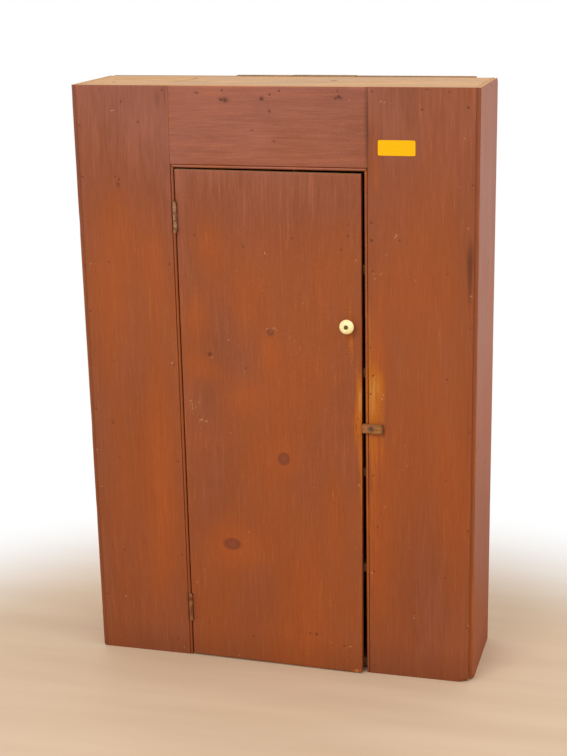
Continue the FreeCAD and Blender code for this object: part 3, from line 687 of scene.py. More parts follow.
def press(points, marks, on, flat, inward, dents, chips, knots, nails):
    """Press dents and chips into a face and note them; flat names the two axes that their lists use."""
    a, b = points[:, flat[0]] / MM, points[:, flat[1]] / MM
    pressed = ((0, DENT_DEPTH, 1, dents), (1, CHIP_DEPTH, 1, chips), (0, NAIL_DEPTH, NAIL_TINT, nails))
    for column, depth, tint, group in pressed:
        for across, height, radius in group:
            share = np.clip(1.35 - np.hypot(a - across, b - height) / radius, 0, 1) * on
            marks[:, column] = np.maximum(marks[:, column], share * tint)
            points += np.outer(share * depth, inward)
    for across, height, half_width, half_height in knots:
        near = np.hypot((a - across) / half_width, (b - height) / half_height)
        marks[:, 2] = np.maximum(marks[:, 2], np.clip(2 - near, 0, 2) * on)


print("dents go", DENT_DEPTH / MM, "mm deep and chips", CHIP_DEPTH / MM)

# %% [markdown]
# Each point of a board also says where it was in the tree, what happened to its paint and which marks
# touched it. The wear of an edge comes and goes along the board, and the paint film varies in broad
# patches of its own. Each board gets its own place in the tree from its seed.

# %% Build one board
FRONT = ((0, 2), (0, 1, 0))     # the axes of the front's lists, and the way into the wood
FACE_DEPTH = 1.2 * MM
TREE_STEP = 3.7


def on_front(points):
    """Whether each point lies on the front."""
    return points[:, 1] < FRONT_Y + FACE_DEPTH


def make_board(name, stations, outline, tags, seed, heart, end_round, faces, along="z", shape=None,
               end_coat=0.0, end_wear=0.8, ripple=0.12 * MM):
    """A board from outline(station) in (across, y); faces lists (test, flat axes, inward, *marks)."""
    rings, ends = carry(stations, outline, end_round, ripple, seed)
    count = rings.shape[1]
    across, y, run = rings.reshape(-1, 3).T
    points = np.stack([across, y, run] if along == "z" else [run, y, across], axis=1)
    if shape:
        points = shape(points)
    tag = np.tile(tags, (len(rings), 1))
    at_end = np.repeat(ends, count)
    blunt = np.clip(0.7 + 1.3 * ripples(points, 60 * MM, seed + 5), 0, 1.4)
    wear = np.maximum(tag[:, 0], at_end * end_wear) * blunt
    painted = tag[:, 1] * (1 - at_end) + end_coat * at_end
    film_and_sheen = 0.1 + 0.45 * ripples(points * [1, 1, 0.4], 160 * MM, seed + 9)
    marks = np.zeros_like(points)
    marks[:, 0] = tag[:, 2]
    for test, flat, inward, *face_marks in faces:
        on = test(points).astype(float) * (1 - at_end)
        if flat == FRONT[0]:
            # The front's patches: film, with the painted sheen over the top; rubbing; dark patches, with the
            # turn button's painted shadow; and tiny chips.
            x, z = points[:, 0], points[:, 2]
            film_and_sheen += patch_sum(x, z, FILM_AND_SHEEN_PATCHES) * on
            wear = np.maximum(wear, patch_sum(x, z, RUBBED_PATCHES) * on)
            marks[:, 0] = np.maximum(marks[:, 0], patch_sum(x, z, DIRT_AND_SHADOW_PATCHES) * on)
            marks[:, 1] = patch_sum(x, z, PALE_PATCHES) * on
        press(points, marks, on, flat, inward, *face_marks)

    low, high = points.min(axis=0), points.max(axis=0)
    thin, wide, long = np.argsort(high - low)
    middle = (high + low) / 2
    grain = np.stack([points[:, wide] - middle[wide] + heart[0], points[:, thin] - middle[thin] + heart[1],
                      points[:, long] + seed * TREE_STEP], axis=1)
    coat = np.stack([painted, wear, film_and_sheen], axis=1)
    return ring_mesh(name, points, len(rings), count, {"grain": grain, "coat": coat, "marks": marks})


print("the front is everything within", FACE_DEPTH / MM, "mm of its face")

# %% [markdown]
# The rings of points are then skinned with quads. Points that fell together, as at a mitre, are joined,
# and only edges that are really sharp are shaded so. A finished piece gets its material, moves with its
# body and hides the piece of the construction that it stands for.

# %% Skin the rings and hand a piece over
SHARP_ANGLE = math.radians(38)
WELD = 0.004 * MM


def ring_mesh(name, points, rows, count, attributes, looped=False):
    """Skin rows of ring points with quads; the rows either close on themselves or end in caps."""
    faces = []
    for i in range(rows if looped else rows - 1):
        here, after = i * count, (i + 1) % rows * count
        for j in range(count):
            k = (j + 1) % count
            faces.append((here + j, here + k, after + k, after + j))
    if not looped:
        faces += [tuple(range(count))[::-1], tuple(range((rows - 1) * count, rows * count))]
    mesh = bpy.data.meshes.new(name + "_worn")
    mesh.from_pydata(points.tolist(), [], faces)
    for label, values in attributes.items():
        store = mesh.attributes.new(label, "FLOAT_VECTOR", "POINT")
        store.data.foreach_set("vector", values.astype(np.float32).ravel())
    tidy = bmesh.new()
    tidy.from_mesh(mesh)
    bmesh.ops.remove_doubles(tidy, verts=tidy.verts, dist=WELD)
    bmesh.ops.recalc_face_normals(tidy, faces=tidy.faces)
    tidy.to_mesh(mesh)
    tidy.free()
    mesh.shade_smooth()
    mesh.set_sharp_from_angle(angle=SHARP_ANGLE)
    piece = bpy.data.objects.new(name + "_worn", mesh)
    bpy.context.scene.collection.objects.link(piece)
    return piece


def hand_over(piece, body, node_name, material):
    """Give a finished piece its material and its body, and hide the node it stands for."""
    piece.data.materials.append(material)
    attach(piece, body)
    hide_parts(node_name)
    print(piece.name, len(piece.data.vertices), "points")


print("edges are sharp from", round(math.degrees(SHARP_ANGLE)), "degrees")

# %% [markdown]
# ## Sides
#
# Each side is one wide board. Rabbets leave a thin lip of it beside the front and back boards, and its
# inner face is housed for the bottom, the shelves and the top. Corners that people pass are rubbed the
# most, and kicks and mops have worn the feet of the front corners round.

# %% Prepare housings and worn corners
CROSS_NAMES = ["bottom_board", "shelf_1", "shelf_2", "shelf_3", "shelf_4", "top_board"]
SLACK = 0.2 * MM
NUDGE = 0.05 * MM
JOINT_LINE = 0.35 * MM
BACK_IN = low_high("back_board_1")[0][1]
LIP_X = low_high("back_board_4")[1][0] + SLACK
HOUSING_X = low_high("shelf_1")[1][0] + SLACK
INNER_X = side_low[0]
RIGHT_TOE = 50 * MM
LEFT_TOE = 10 * MM
TOE_ROWS = np.arange(2, 40, 3) * MM
BALL_REACH = math.sqrt(2) * 1.01


def spans_of(names):
    """How far up each piece reaches, with some slack, as (low, high)."""
    return [(low_high(name)[0][2] - SLACK, low_high(name)[1][2] + SLACK) for name in names]


def within(station, spans):
    """Whether a station falls inside one of the spans."""
    return any(low < station < high for low, high in spans)


def jumps(spans):
    """Stations close to both sides of each span's ends, where an outline jumps."""
    return [edge + nudge for span in spans for edge in span for nudge in (-NUDGE, NUDGE)]


def worn_corner(points, tip, inward, size):
    """Round off one corner of a board to a ball, as knocks and scuffing do."""
    middle = np.array(tip) + np.array(inward) * size
    gap = points - middle
    length = np.linalg.norm(gap, axis=1)
    beyond = np.all(gap * inward < 0, axis=1) & (length > size * BALL_REACH)
    points[beyond] = middle + gap[beyond] * (size * BALL_REACH / length[beyond])[:, None]
    return points


def worn_toe(points, sign, size):
    """Scuff the foot of a front corner; sign is 1 on the right and -1 on the left."""
    return worn_corner(points, (sign * CASE_HALF, FRONT_Y, 0), (-sign, 1, 1), size)


HOUSED = spans_of(CROSS_NAMES)
print("housings:", len(HOUSED))

# %% [markdown]
# A side's outline has eight corners: the lip in front, the wide outer face, the lip behind and the two
# rabbets. Where a housing crosses it, the inner face steps back. The mesh is finer at the toe, the top
# and the chips.

# %% Make the two sides
SIDE_WEAR = [0.1, 0.2, 0.5, 0.2, 0, 0, 0, 0]
SIDE_COAT = [1, 1, 0.5, 0.2, 0, 0, 0, 0.3]
SIDE_DIRT = [0.6, 0.2, 0, 0, 0, 0, 0, 0]
TOP_KNOCK = 22 * MM
SIDE_NAILS = heads_of("side_nails", 1, 2)


def make_side(name, sign, seed, toe, chips):
    """One side board; sign is 1 for the right and -1 for the left."""
    housings = [z for z in jumps(HOUSED) if 2 * MM < z < CASE_TOP - 3 * MM]
    stations = sorted([*spread(0, CASE_TOP, 12 * MM, fine_spots(chips, 1)), *TOE_ROWS,
                       *(CASE_TOP - np.arange(2, 30, 4) * MM), *housings])
    depths = [*spread(FRONT_Y, CASE_BACK, 9 * MM, fine_spots(chips, 0, FRONT_Y)),
              *(FRONT_Y + np.arange(4, 40, 4) * MM), *(CASE_BACK - np.arange(4, 30, 5) * MM)]
    half = (0.5,)
    cuts = [half, shares(FRONT_Y, CASE_BACK, depths), half, half, half, (0.2, 0.4, 0.6, 0.8), half, half]
    tags = tag_outline(cuts, SIDE_WEAR, SIDE_COAT, SIDE_DIRT)

    def outline(station):
        inner = HOUSING_X if within(station, HOUSED) else INNER_X
        near_top = max(0.0, 1 - (CASE_TOP - station) / (75 * MM))
        front_round = worn_radius(1.9 * MM, station, seed)
        back_round = worn_radius(1.5 * MM, station, seed + 2) + 1.6 * MM * near_top
        corners = [(LIP_X, FRONT_Y), (CASE_HALF, FRONT_Y), (CASE_HALF, CASE_BACK), (LIP_X, CASE_BACK),
                   (LIP_X, BACK_IN), (inner, BACK_IN), (inner, FRONT_IN), (LIP_X, FRONT_IN)]
        radii = [0.5 * MM, front_round, back_round, 0.5 * MM, 0.3 * MM, 0.4 * MM, 0.4 * MM, 0.3 * MM]
        return rounded(corners, radii, cuts) * [sign, 1]

    def shape(points):
        knocked = worn_corner(points, (sign * CASE_HALF, CASE_BACK, CASE_TOP), (-sign, -1, -1), TOP_KNOCK)
        return worn_toe(knocked, sign, toe)

    def on_side(points):
        return np.abs(points[:, 0]) > CASE_HALF - 1.5 * MM

    side_chips = [(FRONT_Y / MM + deep, up, radius) for deep, up, radius in chips]
    faces = [(on_side, (1, 2), (-sign, 0, 0), [], side_chips, [], SIDE_NAILS),
             (on_front, *FRONT, *marks_on(name)[0])]
    side = make_board(name, stations, outline, tags, seed, (0.04, 0.09), 0.5 * MM, faces, shape=shape,
                      end_wear=0.3)
    hand_over(side, "case", name, RED_PINE)


make_side("side_right", 1, 3, RIGHT_TOE, SIDE_CHIPS)
make_side("side_left", -1, 4, LEFT_TOE, [])

# %% [markdown]
# ## Beaded front boards
#
# The edges round the door opening are finished with a bead: a half-round with a narrow groove, the quirk,
# beside it. A beading plane cut it, and it hides the gap's uneven width. The two stiles and the rail
# share one beaded outline, measured from the beaded edge into the board. Where bead meets bead the boards
# are mitred at 45 degrees. The left stile also has the recesses that let the hinge leaves in. Dirt stays
# in the quirk and hands keep the bead clean.

# %% Draw the beaded outline
BEAD_WIDTH = 7 * MM
QUIRK_WIDTH = 1.6 * MM
BEAD_SINK = 0.3 * MM
BEAD_STEP = BEAD_WIDTH + QUIRK_WIDTH
BEAD_ROUND = 3.4 * MM
BACK_ROUND = 0.5 * MM
BEAD_WEAR = [0.35, 0.1, 0.0, 0.35, 0.3, 0, 0]
BEAD_COAT = [1, 1, 1, 1, 0.75, 0, 0.2]
BEAD_DIRT = [0.25, 0.1, 0.85, 0, 0.25, 0.4, 0]
FRONT_THICK = FRONT_IN - FRONT_Y
leaf_low, leaf_high = low_high("lower_hinge_case_leaf")
LEAF_RECESS = OPENING_LEFT - leaf_low[0] + SLACK
LEAF_BACK = leaf_high[1] + SLACK
RECESSED = spans_of(["lower_hinge_case_leaf", "upper_hinge_case_leaf"])


def beaded(width, cuts, arris):
    """The outline of a beaded board, as distance from its beaded edge and y."""
    corners = [(width, 0), (BEAD_STEP, 0), (BEAD_WIDTH, BEAD_SINK + BEAD_WIDTH / 2), (BEAD_WIDTH, BEAD_SINK),
               (0, BEAD_SINK), (0, FRONT_THICK), (width, FRONT_THICK)]
    radii = [arris, 0.25 * MM, 0.15 * MM, BEAD_ROUND, BEAD_ROUND, BACK_ROUND, BACK_ROUND]
    return rounded([(t, FRONT_Y + deep) for t, deep in corners], radii, cuts)


def beaded_cuts(width, edge, places):
    """How the sides of a beaded board's outline are divided; the places lie across its face."""
    across = [abs(place - edge) for place in places if abs(place - edge) > BEAD_STEP + 1 * MM]
    steps = [8 * MM, 13 * MM, LEAF_BACK - FRONT_Y, LEAF_BACK - FRONT_Y + NUDGE, 18.6 * MM]
    edge_cuts = shares(BEAD_SINK + BEAD_ROUND, FRONT_THICK - BACK_ROUND, steps)
    return [shares(width, BEAD_STEP, across), (), (), (), edge_cuts, (0.1, 0.5, 0.9), (0.5,)]


print("bead and quirk:", round(BEAD_STEP / MM, 1), "mm wide")

# %% [markdown]
# Each stile runs from the floor to the top. Above the opening its bead makes way for the rail: first
# along the mitre, then straight up, or slightly slanted where the rail's end was sawn out of square.

# %% Make the two stiles
RAIL_END_TAPER = 3.5 * MM
MITRE_ROWS = [OPENING_TOP + step * MM for step in (-0.05, 0.1, 2, 4, 6, 8, 8.6, 8.65)]


def make_stile(name, edge, outer, taper, seed, heart, toe, recesses):
    """A front board beside the door, from its beaded edge to its outer edge."""
    inward = 1 if outer > edge else -1
    width = abs(outer - edge)
    low, high = low_high(name)
    marks, x_spots, z_spots = marks_on(name)
    cuts = beaded_cuts(width, edge, spread(low[0], high[0], 9 * MM, x_spots))
    stations = sorted([*spread(0, CASE_TOP, 9 * MM, z_spots), *TOE_ROWS, *MITRE_ROWS, *jumps(recesses)])
    tags = tag_outline(cuts, BEAD_WEAR, BEAD_COAT, BEAD_DIRT)
    bead_from = TURNS + 1 + len(cuts[0])
    bead_to = bead_from + 4 * (TURNS + 1)

    def outline(station):
        ring = beaded(width, cuts, worn_radius(0.8 * MM, station, seed))
        above = station - OPENING_TOP
        if above > BEAD_STEP:
            limit = BEAD_STEP - taper * (above - BEAD_STEP) / (CASE_TOP - OPENING_TOP - BEAD_STEP)
            ring[bead_from:bead_to, 0] = limit
            ring[bead_from:bead_to, 1] = np.linspace(FRONT_Y, FRONT_Y + BEAD_WIDTH / 2, bead_to - bead_from)
            ring[:, 0] = np.maximum(ring[:, 0], limit)
        else:
            limit = LEAF_RECESS if within(station, recesses) else max(0.0, above)
            cut = (ring[:, 0] < limit) & ((ring[:, 1] < LEAF_BACK) | (above > 0))
            ring[:, 1] = np.where(cut, np.maximum.accumulate(ring[:, 1]), ring[:, 1])
            ring[:, 0] = np.where(cut, limit, ring[:, 0])
        ring[:, 0] = edge + inward * ring[:, 0]
        return ring

    stile = make_board(name, stations, outline, tags, seed, heart, 0.5 * MM, [(on_front, *FRONT, *marks)],
                       shape=lambda p: worn_toe(p, inward, toe))
    hand_over(stile, "case", name, RED_PINE)


FRONT_END = LIP_X - JOINT_LINE
make_stile("stile_left", OPENING_LEFT, -FRONT_END, RAIL_END_TAPER, 11, (0.02, 0.055), LEFT_TOE, RECESSED)
make_stile("stile_right", OPENING_RIGHT, FRONT_END, 0.0, 12, (-0.05, 0.075), RIGHT_TOE, [])

# %% [markdown]
# The rail is carried along x instead, from its left end to its right, and its two ends are then slanted
# to meet the stiles. Its left end is a little out of square, as it was sawn by eye.

# %% Make the rail


def make_rail():
    """The beaded board over the door."""
    left = OPENING_LEFT - BEAD_STEP + JOINT_LINE
    right = OPENING_RIGHT + BEAD_STEP - JOINT_LINE
    height = CASE_TOP - OPENING_TOP
    marks, x_spots, z_spots = marks_on("top_rail")
    cuts = beaded_cuts(height, OPENING_TOP, spread(OPENING_TOP, CASE_TOP, 8 * MM, z_spots))
    tags = tag_outline(cuts, [0.9] + BEAD_WEAR[1:], BEAD_COAT, [0.0] + BEAD_DIRT[1:])

    def outline(station):
        return beaded(height, cuts, worn_radius(1.6 * MM, station, 21)) + [OPENING_TOP, 0]

    def slanted(points):
        above = points[:, 2] - OPENING_TOP
        mitred = np.clip(above, 0, BEAD_STEP)
        taper = RAIL_END_TAPER * np.clip((above - BEAD_STEP) / (height - BEAD_STEP), 0, 1)
        start = OPENING_LEFT + JOINT_LINE - mitred + taper
        end = OPENING_RIGHT - JOINT_LINE + mitred
        share = (points[:, 0] - left) / (right - left)
        points[:, 0] = start + share * (end - start)
        return points

    rail = make_board("top_rail", spread(left, right, 9 * MM, x_spots), outline, tags, 21, (0.02, 0.05),
                      0.6 * MM, [(on_front, *FRONT, *marks)], along="x", shape=slanted)
    hand_over(rail, "case", "top_rail", RED_PINE)


make_rail()

# %% [markdown]
# ## Door
#
# The door is one wide board. It is a little out of square, so the gaps round it taper, and its free foot
# has warped outwards. It is built square and flat first, and then every point is moved: that keeps its
# mesh even.

# %% Make the door
DOOR_BOW = 12 * MM
DOOR_BOW_START = 620 * MM
foot_left, top_left, foot_right, top_right = [corner("door_board", a, b) for a in (-1, 1) for b in (-1, 1)]
DOOR_LEFT = top_left[0]
DOOR_RIGHT = foot_right[0]
DOOR_THICK = low_high("door_board")[1][1] - FRONT_Y


def across_door(points):
    """How far each point is across the door, from 0 at the hinges to 1 at the knob side."""
    return (points[:, 0] - DOOR_LEFT) / (DOOR_RIGHT - DOOR_LEFT)


def bow(points):
    """How far each point has bowed outwards, which is most at the foot of the knob side."""
    return DOOR_BOW * across_door(points) * np.maximum(0, 1 - points[:, 2] / DOOR_BOW_START)


def warped(points):
    """Bow flat points outwards."""
    points[:, 1] -= bow(points)
    return points


def out_of_square(points):
    """Fit a square door to its four real corners, then warp it."""
    u = across_door(points)
    v = (points[:, 2] - foot_left[2]) / (top_left[2] - foot_left[2])
    right_x = foot_right[0] + v * (top_right[0] - foot_right[0])
    points[:, 0] = DOOR_LEFT + u * (right_x - DOOR_LEFT)
    low_z = foot_left[2] + u * (foot_right[2] - foot_left[2])
    high_z = top_left[2] + u * (top_right[2] - top_left[2])
    points[:, 2] = low_z + v * (high_z - low_z)
    return warped(points)


def make_door():
    """The door's one board, with recesses for the hinge leaves."""
    marks, x_spots, z_spots = marks_on("door_board")
    leaf_share = 1 - (LEAF_BACK - FRONT_Y) / DOOR_THICK
    cuts = [divided(DOOR_LEFT, DOOR_RIGHT, 9 * MM, x_spots), (0.35, 0.7), (0.1, 0.3, 0.5, 0.7, 0.9),
            sorted([leaf_share - 0.003, leaf_share, 0.6])]
    tags = tag_outline(cuts, [0.3, 0.45, 0.2, 0.1], [1, 0.8, 0.1, 0.7], [0.1, 0.2, 0.1, 0.3])
    stations = sorted([*spread(foot_left[2], top_left[2], 9 * MM, z_spots), *jumps(RECESSED)])

    def outline(station):
        corners = [(DOOR_LEFT, FRONT_Y), (DOOR_RIGHT, FRONT_Y), (DOOR_RIGHT, FRONT_Y + DOOR_THICK),
                   (DOOR_LEFT, FRONT_Y + DOOR_THICK)]
        ring = rounded(corners, [0.9 * MM, worn_radius(1.5 * MM, station, 31), 0.8 * MM, 0.8 * MM], cuts)
        if within(station, RECESSED):
            cut = (ring[:, 0] < DOOR_LEFT + LEAF_RECESS) & (ring[:, 1] < LEAF_BACK)
            ring[:, 0] = np.where(cut, DOOR_LEFT + LEAF_RECESS, ring[:, 0])
        return ring

    def on_bowed_front(points):
        return points[:, 1] + bow(points) < FRONT_Y + FACE_DEPTH

    # Its ends keep little paint, so a pale line of bare wood runs along the top edge: a worn arris and a
    # painted highlight.
    door = make_board("door_board", stations, outline, tags, 31, (0.05, 0.06), 1.3 * MM,
                      [(on_bowed_front, *FRONT, *marks)], shape=out_of_square, end_coat=0.3)
    hand_over(door, "door", "door_board", DOOR_PINE)


make_door()

# %% [markdown]
# ## Plain boards
#
# The shelves, the bottom, the top, the back boards and the door's battens are plain bare boards, and
# share one four-cornered outline. The top has a curved drying check: a row of dents so close together
# that they join.

# %% Make the shelves, bottom and top
CHECK_POINTS = 16


def make_plain(name, body, material, along, radius, cuts, low, high, seed, heart=(0.03, 0.07),
               spacing=14 * MM, spots=(), end_round=0.8 * MM, notch=None, shape=None, faces=()):
    """A four-cornered board between two opposite corners, along x or z; above a notch it ends sooner."""
    axis = 0 if along == "x" else 2
    a = 2 - axis

    def outline(station):
        a_high = notch[1] if notch and station > notch[0] else high[a]
        corners = [(low[a], low[1]), (a_high, low[1]), (a_high, high[1]), (low[a], high[1])]
        return rounded(corners, [worn_radius(radius, station, seed + i) for i in range(4)], cuts)

    stations = list(spread(low[axis], high[axis], spacing, spots))
    if notch:
        stations = sorted(stations + [notch[0] - NUDGE, notch[0] + NUDGE])
    tags = tag_outline(cuts, [0] * 4, [0] * 4, [0] * 4)
    board = make_board(name, stations, outline, tags, seed, heart, end_round, faces, along=along, shape=shape,
                       ripple=0.2 * MM)
    hand_over(board, body, name, material)


for number, cross_name in enumerate(CROSS_NAMES[:-1]):
    board_low, board_high = low_high(cross_name)
    cross_cuts = [(0.5,), divided(board_low[1], board_high[1], 30 * MM)] * 2
    make_plain(cross_name, "case", INNER_PINE, "x", 0.8 * MM, cross_cuts, board_low, board_high, 41 + number,
               spacing=30 * MM)


def on_top(points):
    """Whether each point lies on the upper face of the top."""
    return points[:, 2] > CASE_TOP - 1 * MM


# The check and the knots: millimetres across from the middle and back from the front, and their sizes.
front_mm = FRONT_Y / MM
check = [(-268 + 22 * math.sin(i / 15 * 2.2), front_mm + (112 + 6 * i + 0.02 * i ** 2), 3.6)
         for i in range(CHECK_POINTS)]
top_knots = [(-419, front_mm + 79, 6, 7), (120, front_mm + 150, 9, 8)]
check_across = [(mark[0] * MM, 2.2 * MM) for mark in check]
check_deep = [(mark[1] * MM, 3 * MM) for mark in check[::2]]
board_low, board_high = low_high("top_board")
top_cuts = [(0.5,), divided(board_low[1], board_high[1], 8 * MM, check_deep), (0.5,), (0.25, 0.5, 0.75)]
make_plain("top_board", "case", TOP_PINE, "x", 1.0 * MM, top_cuts, board_low, board_high, 47, (0.02, 0.05),
           9 * MM, check_across, 0.2 * MM, faces=[(on_top, (0, 1), (0, 0, -1), check, [], top_knots, [])])

# %% [markdown]
# The back boards stand upright and end unevenly above the top, and the last one lost its top corner. Two
# battens across the inside of the door follow its warp.

# %% Make the back boards and the battens
NOTCH_WIDTH = 42 * MM
NOTCH_DEEP = 4 * MM
BATTEN_THICK = 20 * MM
BATTEN_CUTS = [(0.25, 0.5, 0.75), (0.5,)] * 2

for number in range(1, 5):
    name = "back_board_%d" % number
    board_low, board_high = low_high(name)
    back_cuts = [divided(board_low[0], board_high[0], 20 * MM), (0.5,)] * 2
    broken = (CASE_TOP - NOTCH_DEEP, LIP_X - NOTCH_WIDTH) if number == 4 else None
    make_plain(name, "case", BACK_PINE, "z", 1.0 * MM, back_cuts, board_low, board_high, 50 + number,
               (0.01 * number, 0.06), 20 * MM, notch=broken)

for name, seed in (("lower_batten", 61), ("upper_batten", 62)):
    board_low, board_high = low_high(name)
    board_low[1] = FRONT_Y + DOOR_THICK + SLACK
    board_high[1] = board_low[1] + BATTEN_THICK
    make_plain(name, "door", INNER_PINE, "x", 1.5 * MM, BATTEN_CUTS, board_low, board_high, seed,
               shape=warped)

# %% [markdown]
# ## Turned and whittled pieces
#
# The porcelain knob was turned on a wheel, and the turn button was whittled from a scrap of wood. Both go
# right round a screw, so both are made the same way: a closed profile for every angle round the screw's
# axis. For the knob the profile is always the same, and for the button it reaches out to the edge of a
# worn block. The paper label is made so too, with no hole.

# %% Spin a profile round a screw
AROUND = 96
SPIN_HEART = (0.01, 0.03)


def spin(name, middle, profile, seed=0):
    """Carry profile(angle), a closed loop of (out, y) points, round an axis along y."""
    rows = []
    for step in range(AROUND):
        angle = 2 * math.pi * step / AROUND
        rows.append([(middle[0] + out * math.cos(angle), y, middle[2] + out * math.sin(angle))
                     for out, y in profile(angle)])
    points = np.array(rows).reshape(-1, 3)
    grain = np.stack([points[:, 2] - middle[2] + SPIN_HEART[0], points[:, 1] - middle[1] + SPIN_HEART[1],
                      points[:, 0] + seed * TREE_STEP], axis=1)
    attributes = {"grain": grain, "marks": np.zeros_like(points)}
    return ring_mesh(name, points, AROUND, len(rows[0]), attributes, looped=True)


def curve_between(start, bend, end, steps):
    """Points of a smooth curve from start to end that is pulled towards bend, without its end."""
    start, bend, end = (np.array(p, float) for p in (start, bend, end))
    return [tuple((1 - t) ** 2 * start + 2 * t * (1 - t) * bend + t ** 2 * end)
            for t in np.linspace(0, 1, steps, endpoint=False)]


print("spun pieces have", AROUND, "steps round")

# %% [markdown]
# Glazed porcelain is near white clay under a clear glassy glaze, here yellowed to cream. It gives the eye
# one crisp highlight and a soft glow at its thin edge, so it gets a low roughness and a little scattering
# under the surface.

# %% Make the knob
knob_low, knob_high = low_high("knob")
knob_middle = (knob_low + knob_high) / 2
KNOB_RADIUS = knob_high[0] - knob_middle[0]
KNOB_TIP = knob_low[1]
KNOB_BORE = 2.7 * MM
KNOB_DISH = 5.5 * MM
KNOB_NECK = 8.5 * MM
KNOB_FOOT = 11 * MM


def knob_profile(angle):
    """From the bore over the foot, the neck, the mushroom head and the dish back to the bore."""
    foot, neck, rim = FRONT_Y - 1.8 * MM, FRONT_Y - 7.5 * MM, FRONT_Y - 18.5 * MM
    face = (KNOB_DISH + 3 * MM, KNOB_TIP + 0.05 * MM)
    lip = (KNOB_DISH - 0.2 * MM, KNOB_TIP + 1 * MM)
    hole = (KNOB_BORE, KNOB_TIP + 3.2 * MM)
    return [
        (KNOB_BORE, FRONT_Y),
        *curve_between((KNOB_FOOT - 0.5 * MM, FRONT_Y), (KNOB_FOOT, FRONT_Y), (KNOB_FOOT, foot), 4),
        *curve_between((KNOB_FOOT, foot), (KNOB_NECK, foot), (KNOB_NECK, neck), 8),
        *curve_between((KNOB_NECK, neck), (KNOB_RADIUS * 0.9, neck - 1 * MM), (KNOB_RADIUS, rim), 12),
        *curve_between((KNOB_RADIUS, rim), (KNOB_RADIUS, KNOB_TIP + 1.5 * MM), face, 14),
        *curve_between(face, (KNOB_DISH + 0.4 * MM, KNOB_TIP), lip, 6),
        *curve_between(lip, (KNOB_DISH - 1 * MM, KNOB_TIP + 2 * MM), hole, 4),
        hole,
    ]


def glazed_porcelain():
    """Glazed porcelain: a hard clear highlight over cream, with faint crazing dirt."""
    material, add = new_material("glazed_porcelain_fired")
    place = add("TexCoord", out="Object")
    stain = add("TexNoise", place, 1 / (14 * MM), 3.0)
    crazed = add("TexNoise", place, 1 / (3 * MM), 2.0)
    colour = layered(add, "#FFF6BC", ("#F6E298", stain, 0.35, 0.75))
    gloss = add("MapRange", crazed, 0, 1, 0.08, 0.2)
    shader = add("BsdfPrincipled", colour, Roughness=gloss, Subsurface_Weight=0.15,
                 Subsurface_Radius=(1.0, 0.7, 0.4), Subsurface_Scale=2 * MM)
    add("OutputMaterial", shader)
    return material


knob = spin("knob", knob_middle, knob_profile)
hand_over(knob, "door", "knob", glazed_porcelain())

# %% [markdown]
# The turn button has been rubbed by thumbs for a century: its corners are gone, and a dish is worn round
# the screw.

# %% Whittle the turn button
button_low, button_high = low_high("turn_button")
screw_low, screw_high = low_high("button_screw")
button_middle = np.array([(screw_low[0] + screw_high[0]) / 2, button_high[1],
                          (button_low[2] + button_high[2]) / 2])
BUTTON_BORE = 2.5 * MM
HEAD_ROOM = (screw_high[0] - screw_low[0]) / 2 + 0.4 * MM
BUTTON_CORNER = 3.5 * MM
BUTTON_SOFT = 2.2 * MM


def block_reach(angle, low, high, middle, radius):
    """How far a rounded block reaches from its screw in one direction across its face."""
    away = np.array([math.cos(angle), math.sin(angle)])
    limit = np.array([high[0] - middle[0] if away[0] > 0 else middle[0] - low[0],
                      high[2] - middle[2] if away[1] > 0 else middle[2] - low[2]])
    straight = min(limit[k] / max(abs(away[k]), 1e-9) for k in (0, 1))
    core = limit - radius
    if all(np.abs(away) * straight > core):
        along = np.abs(away) @ core
        return along + math.sqrt(max(0.0, along ** 2 - core @ core + radius ** 2))
    return straight


def button_profile(angle):
    """From the bore along the back, round the worn edges, over the face and down the screw's seat."""
    cuts = noise.noise((2.6 * math.cos(angle), 2.6 * math.sin(angle), 4.2))
    block = block_reach(angle, button_low, button_high, button_middle, BUTTON_CORNER)
    reach = block - (0.6 + 0.9 * cuts) * MM
    inner = reach - BUTTON_SOFT
    front, back = button_low[1], button_high[1]
    face = front + 0.15 * MM
    return [
        (BUTTON_BORE, back),
        *curve_between((reach - 0.8 * MM, back), (reach, back), (reach, back - 0.8 * MM), 4),
        *curve_between((reach, front + BUTTON_SOFT), (reach, front), (inner, face), 7),
        *[(inner * (1 - share) + (HEAD_ROOM + 1.6 * MM) * share, face + 0.2 * MM * share)
          for share in (0, 0.35, 0.7, 1)],
        *curve_between((HEAD_ROOM + 1 * MM, front + 0.45 * MM), (HEAD_ROOM, front + 0.5 * MM),
                       (HEAD_ROOM - 0.4 * MM, front + 1.0 * MM), 3),
        (BUTTON_BORE, front + 1 * MM + HEAD_ROOM - 0.4 * MM - BUTTON_BORE),
    ]


button = spin("turn_button", button_middle, button_profile, seed=71)
print("turn button:", len(button.data.vertices), "points")

# %% [markdown]
# Handled bare wood goes brown and slightly shiny. Its ends and the edge of the screw's seat are painted
# darker, for dirt and for the shade that falls on its rounded ends and into the seat.

# %% Brown the turn button
FROM_END = (24 * MM, 31 * MM)
FROM_SEAT = (9 * MM, 14 * MM)


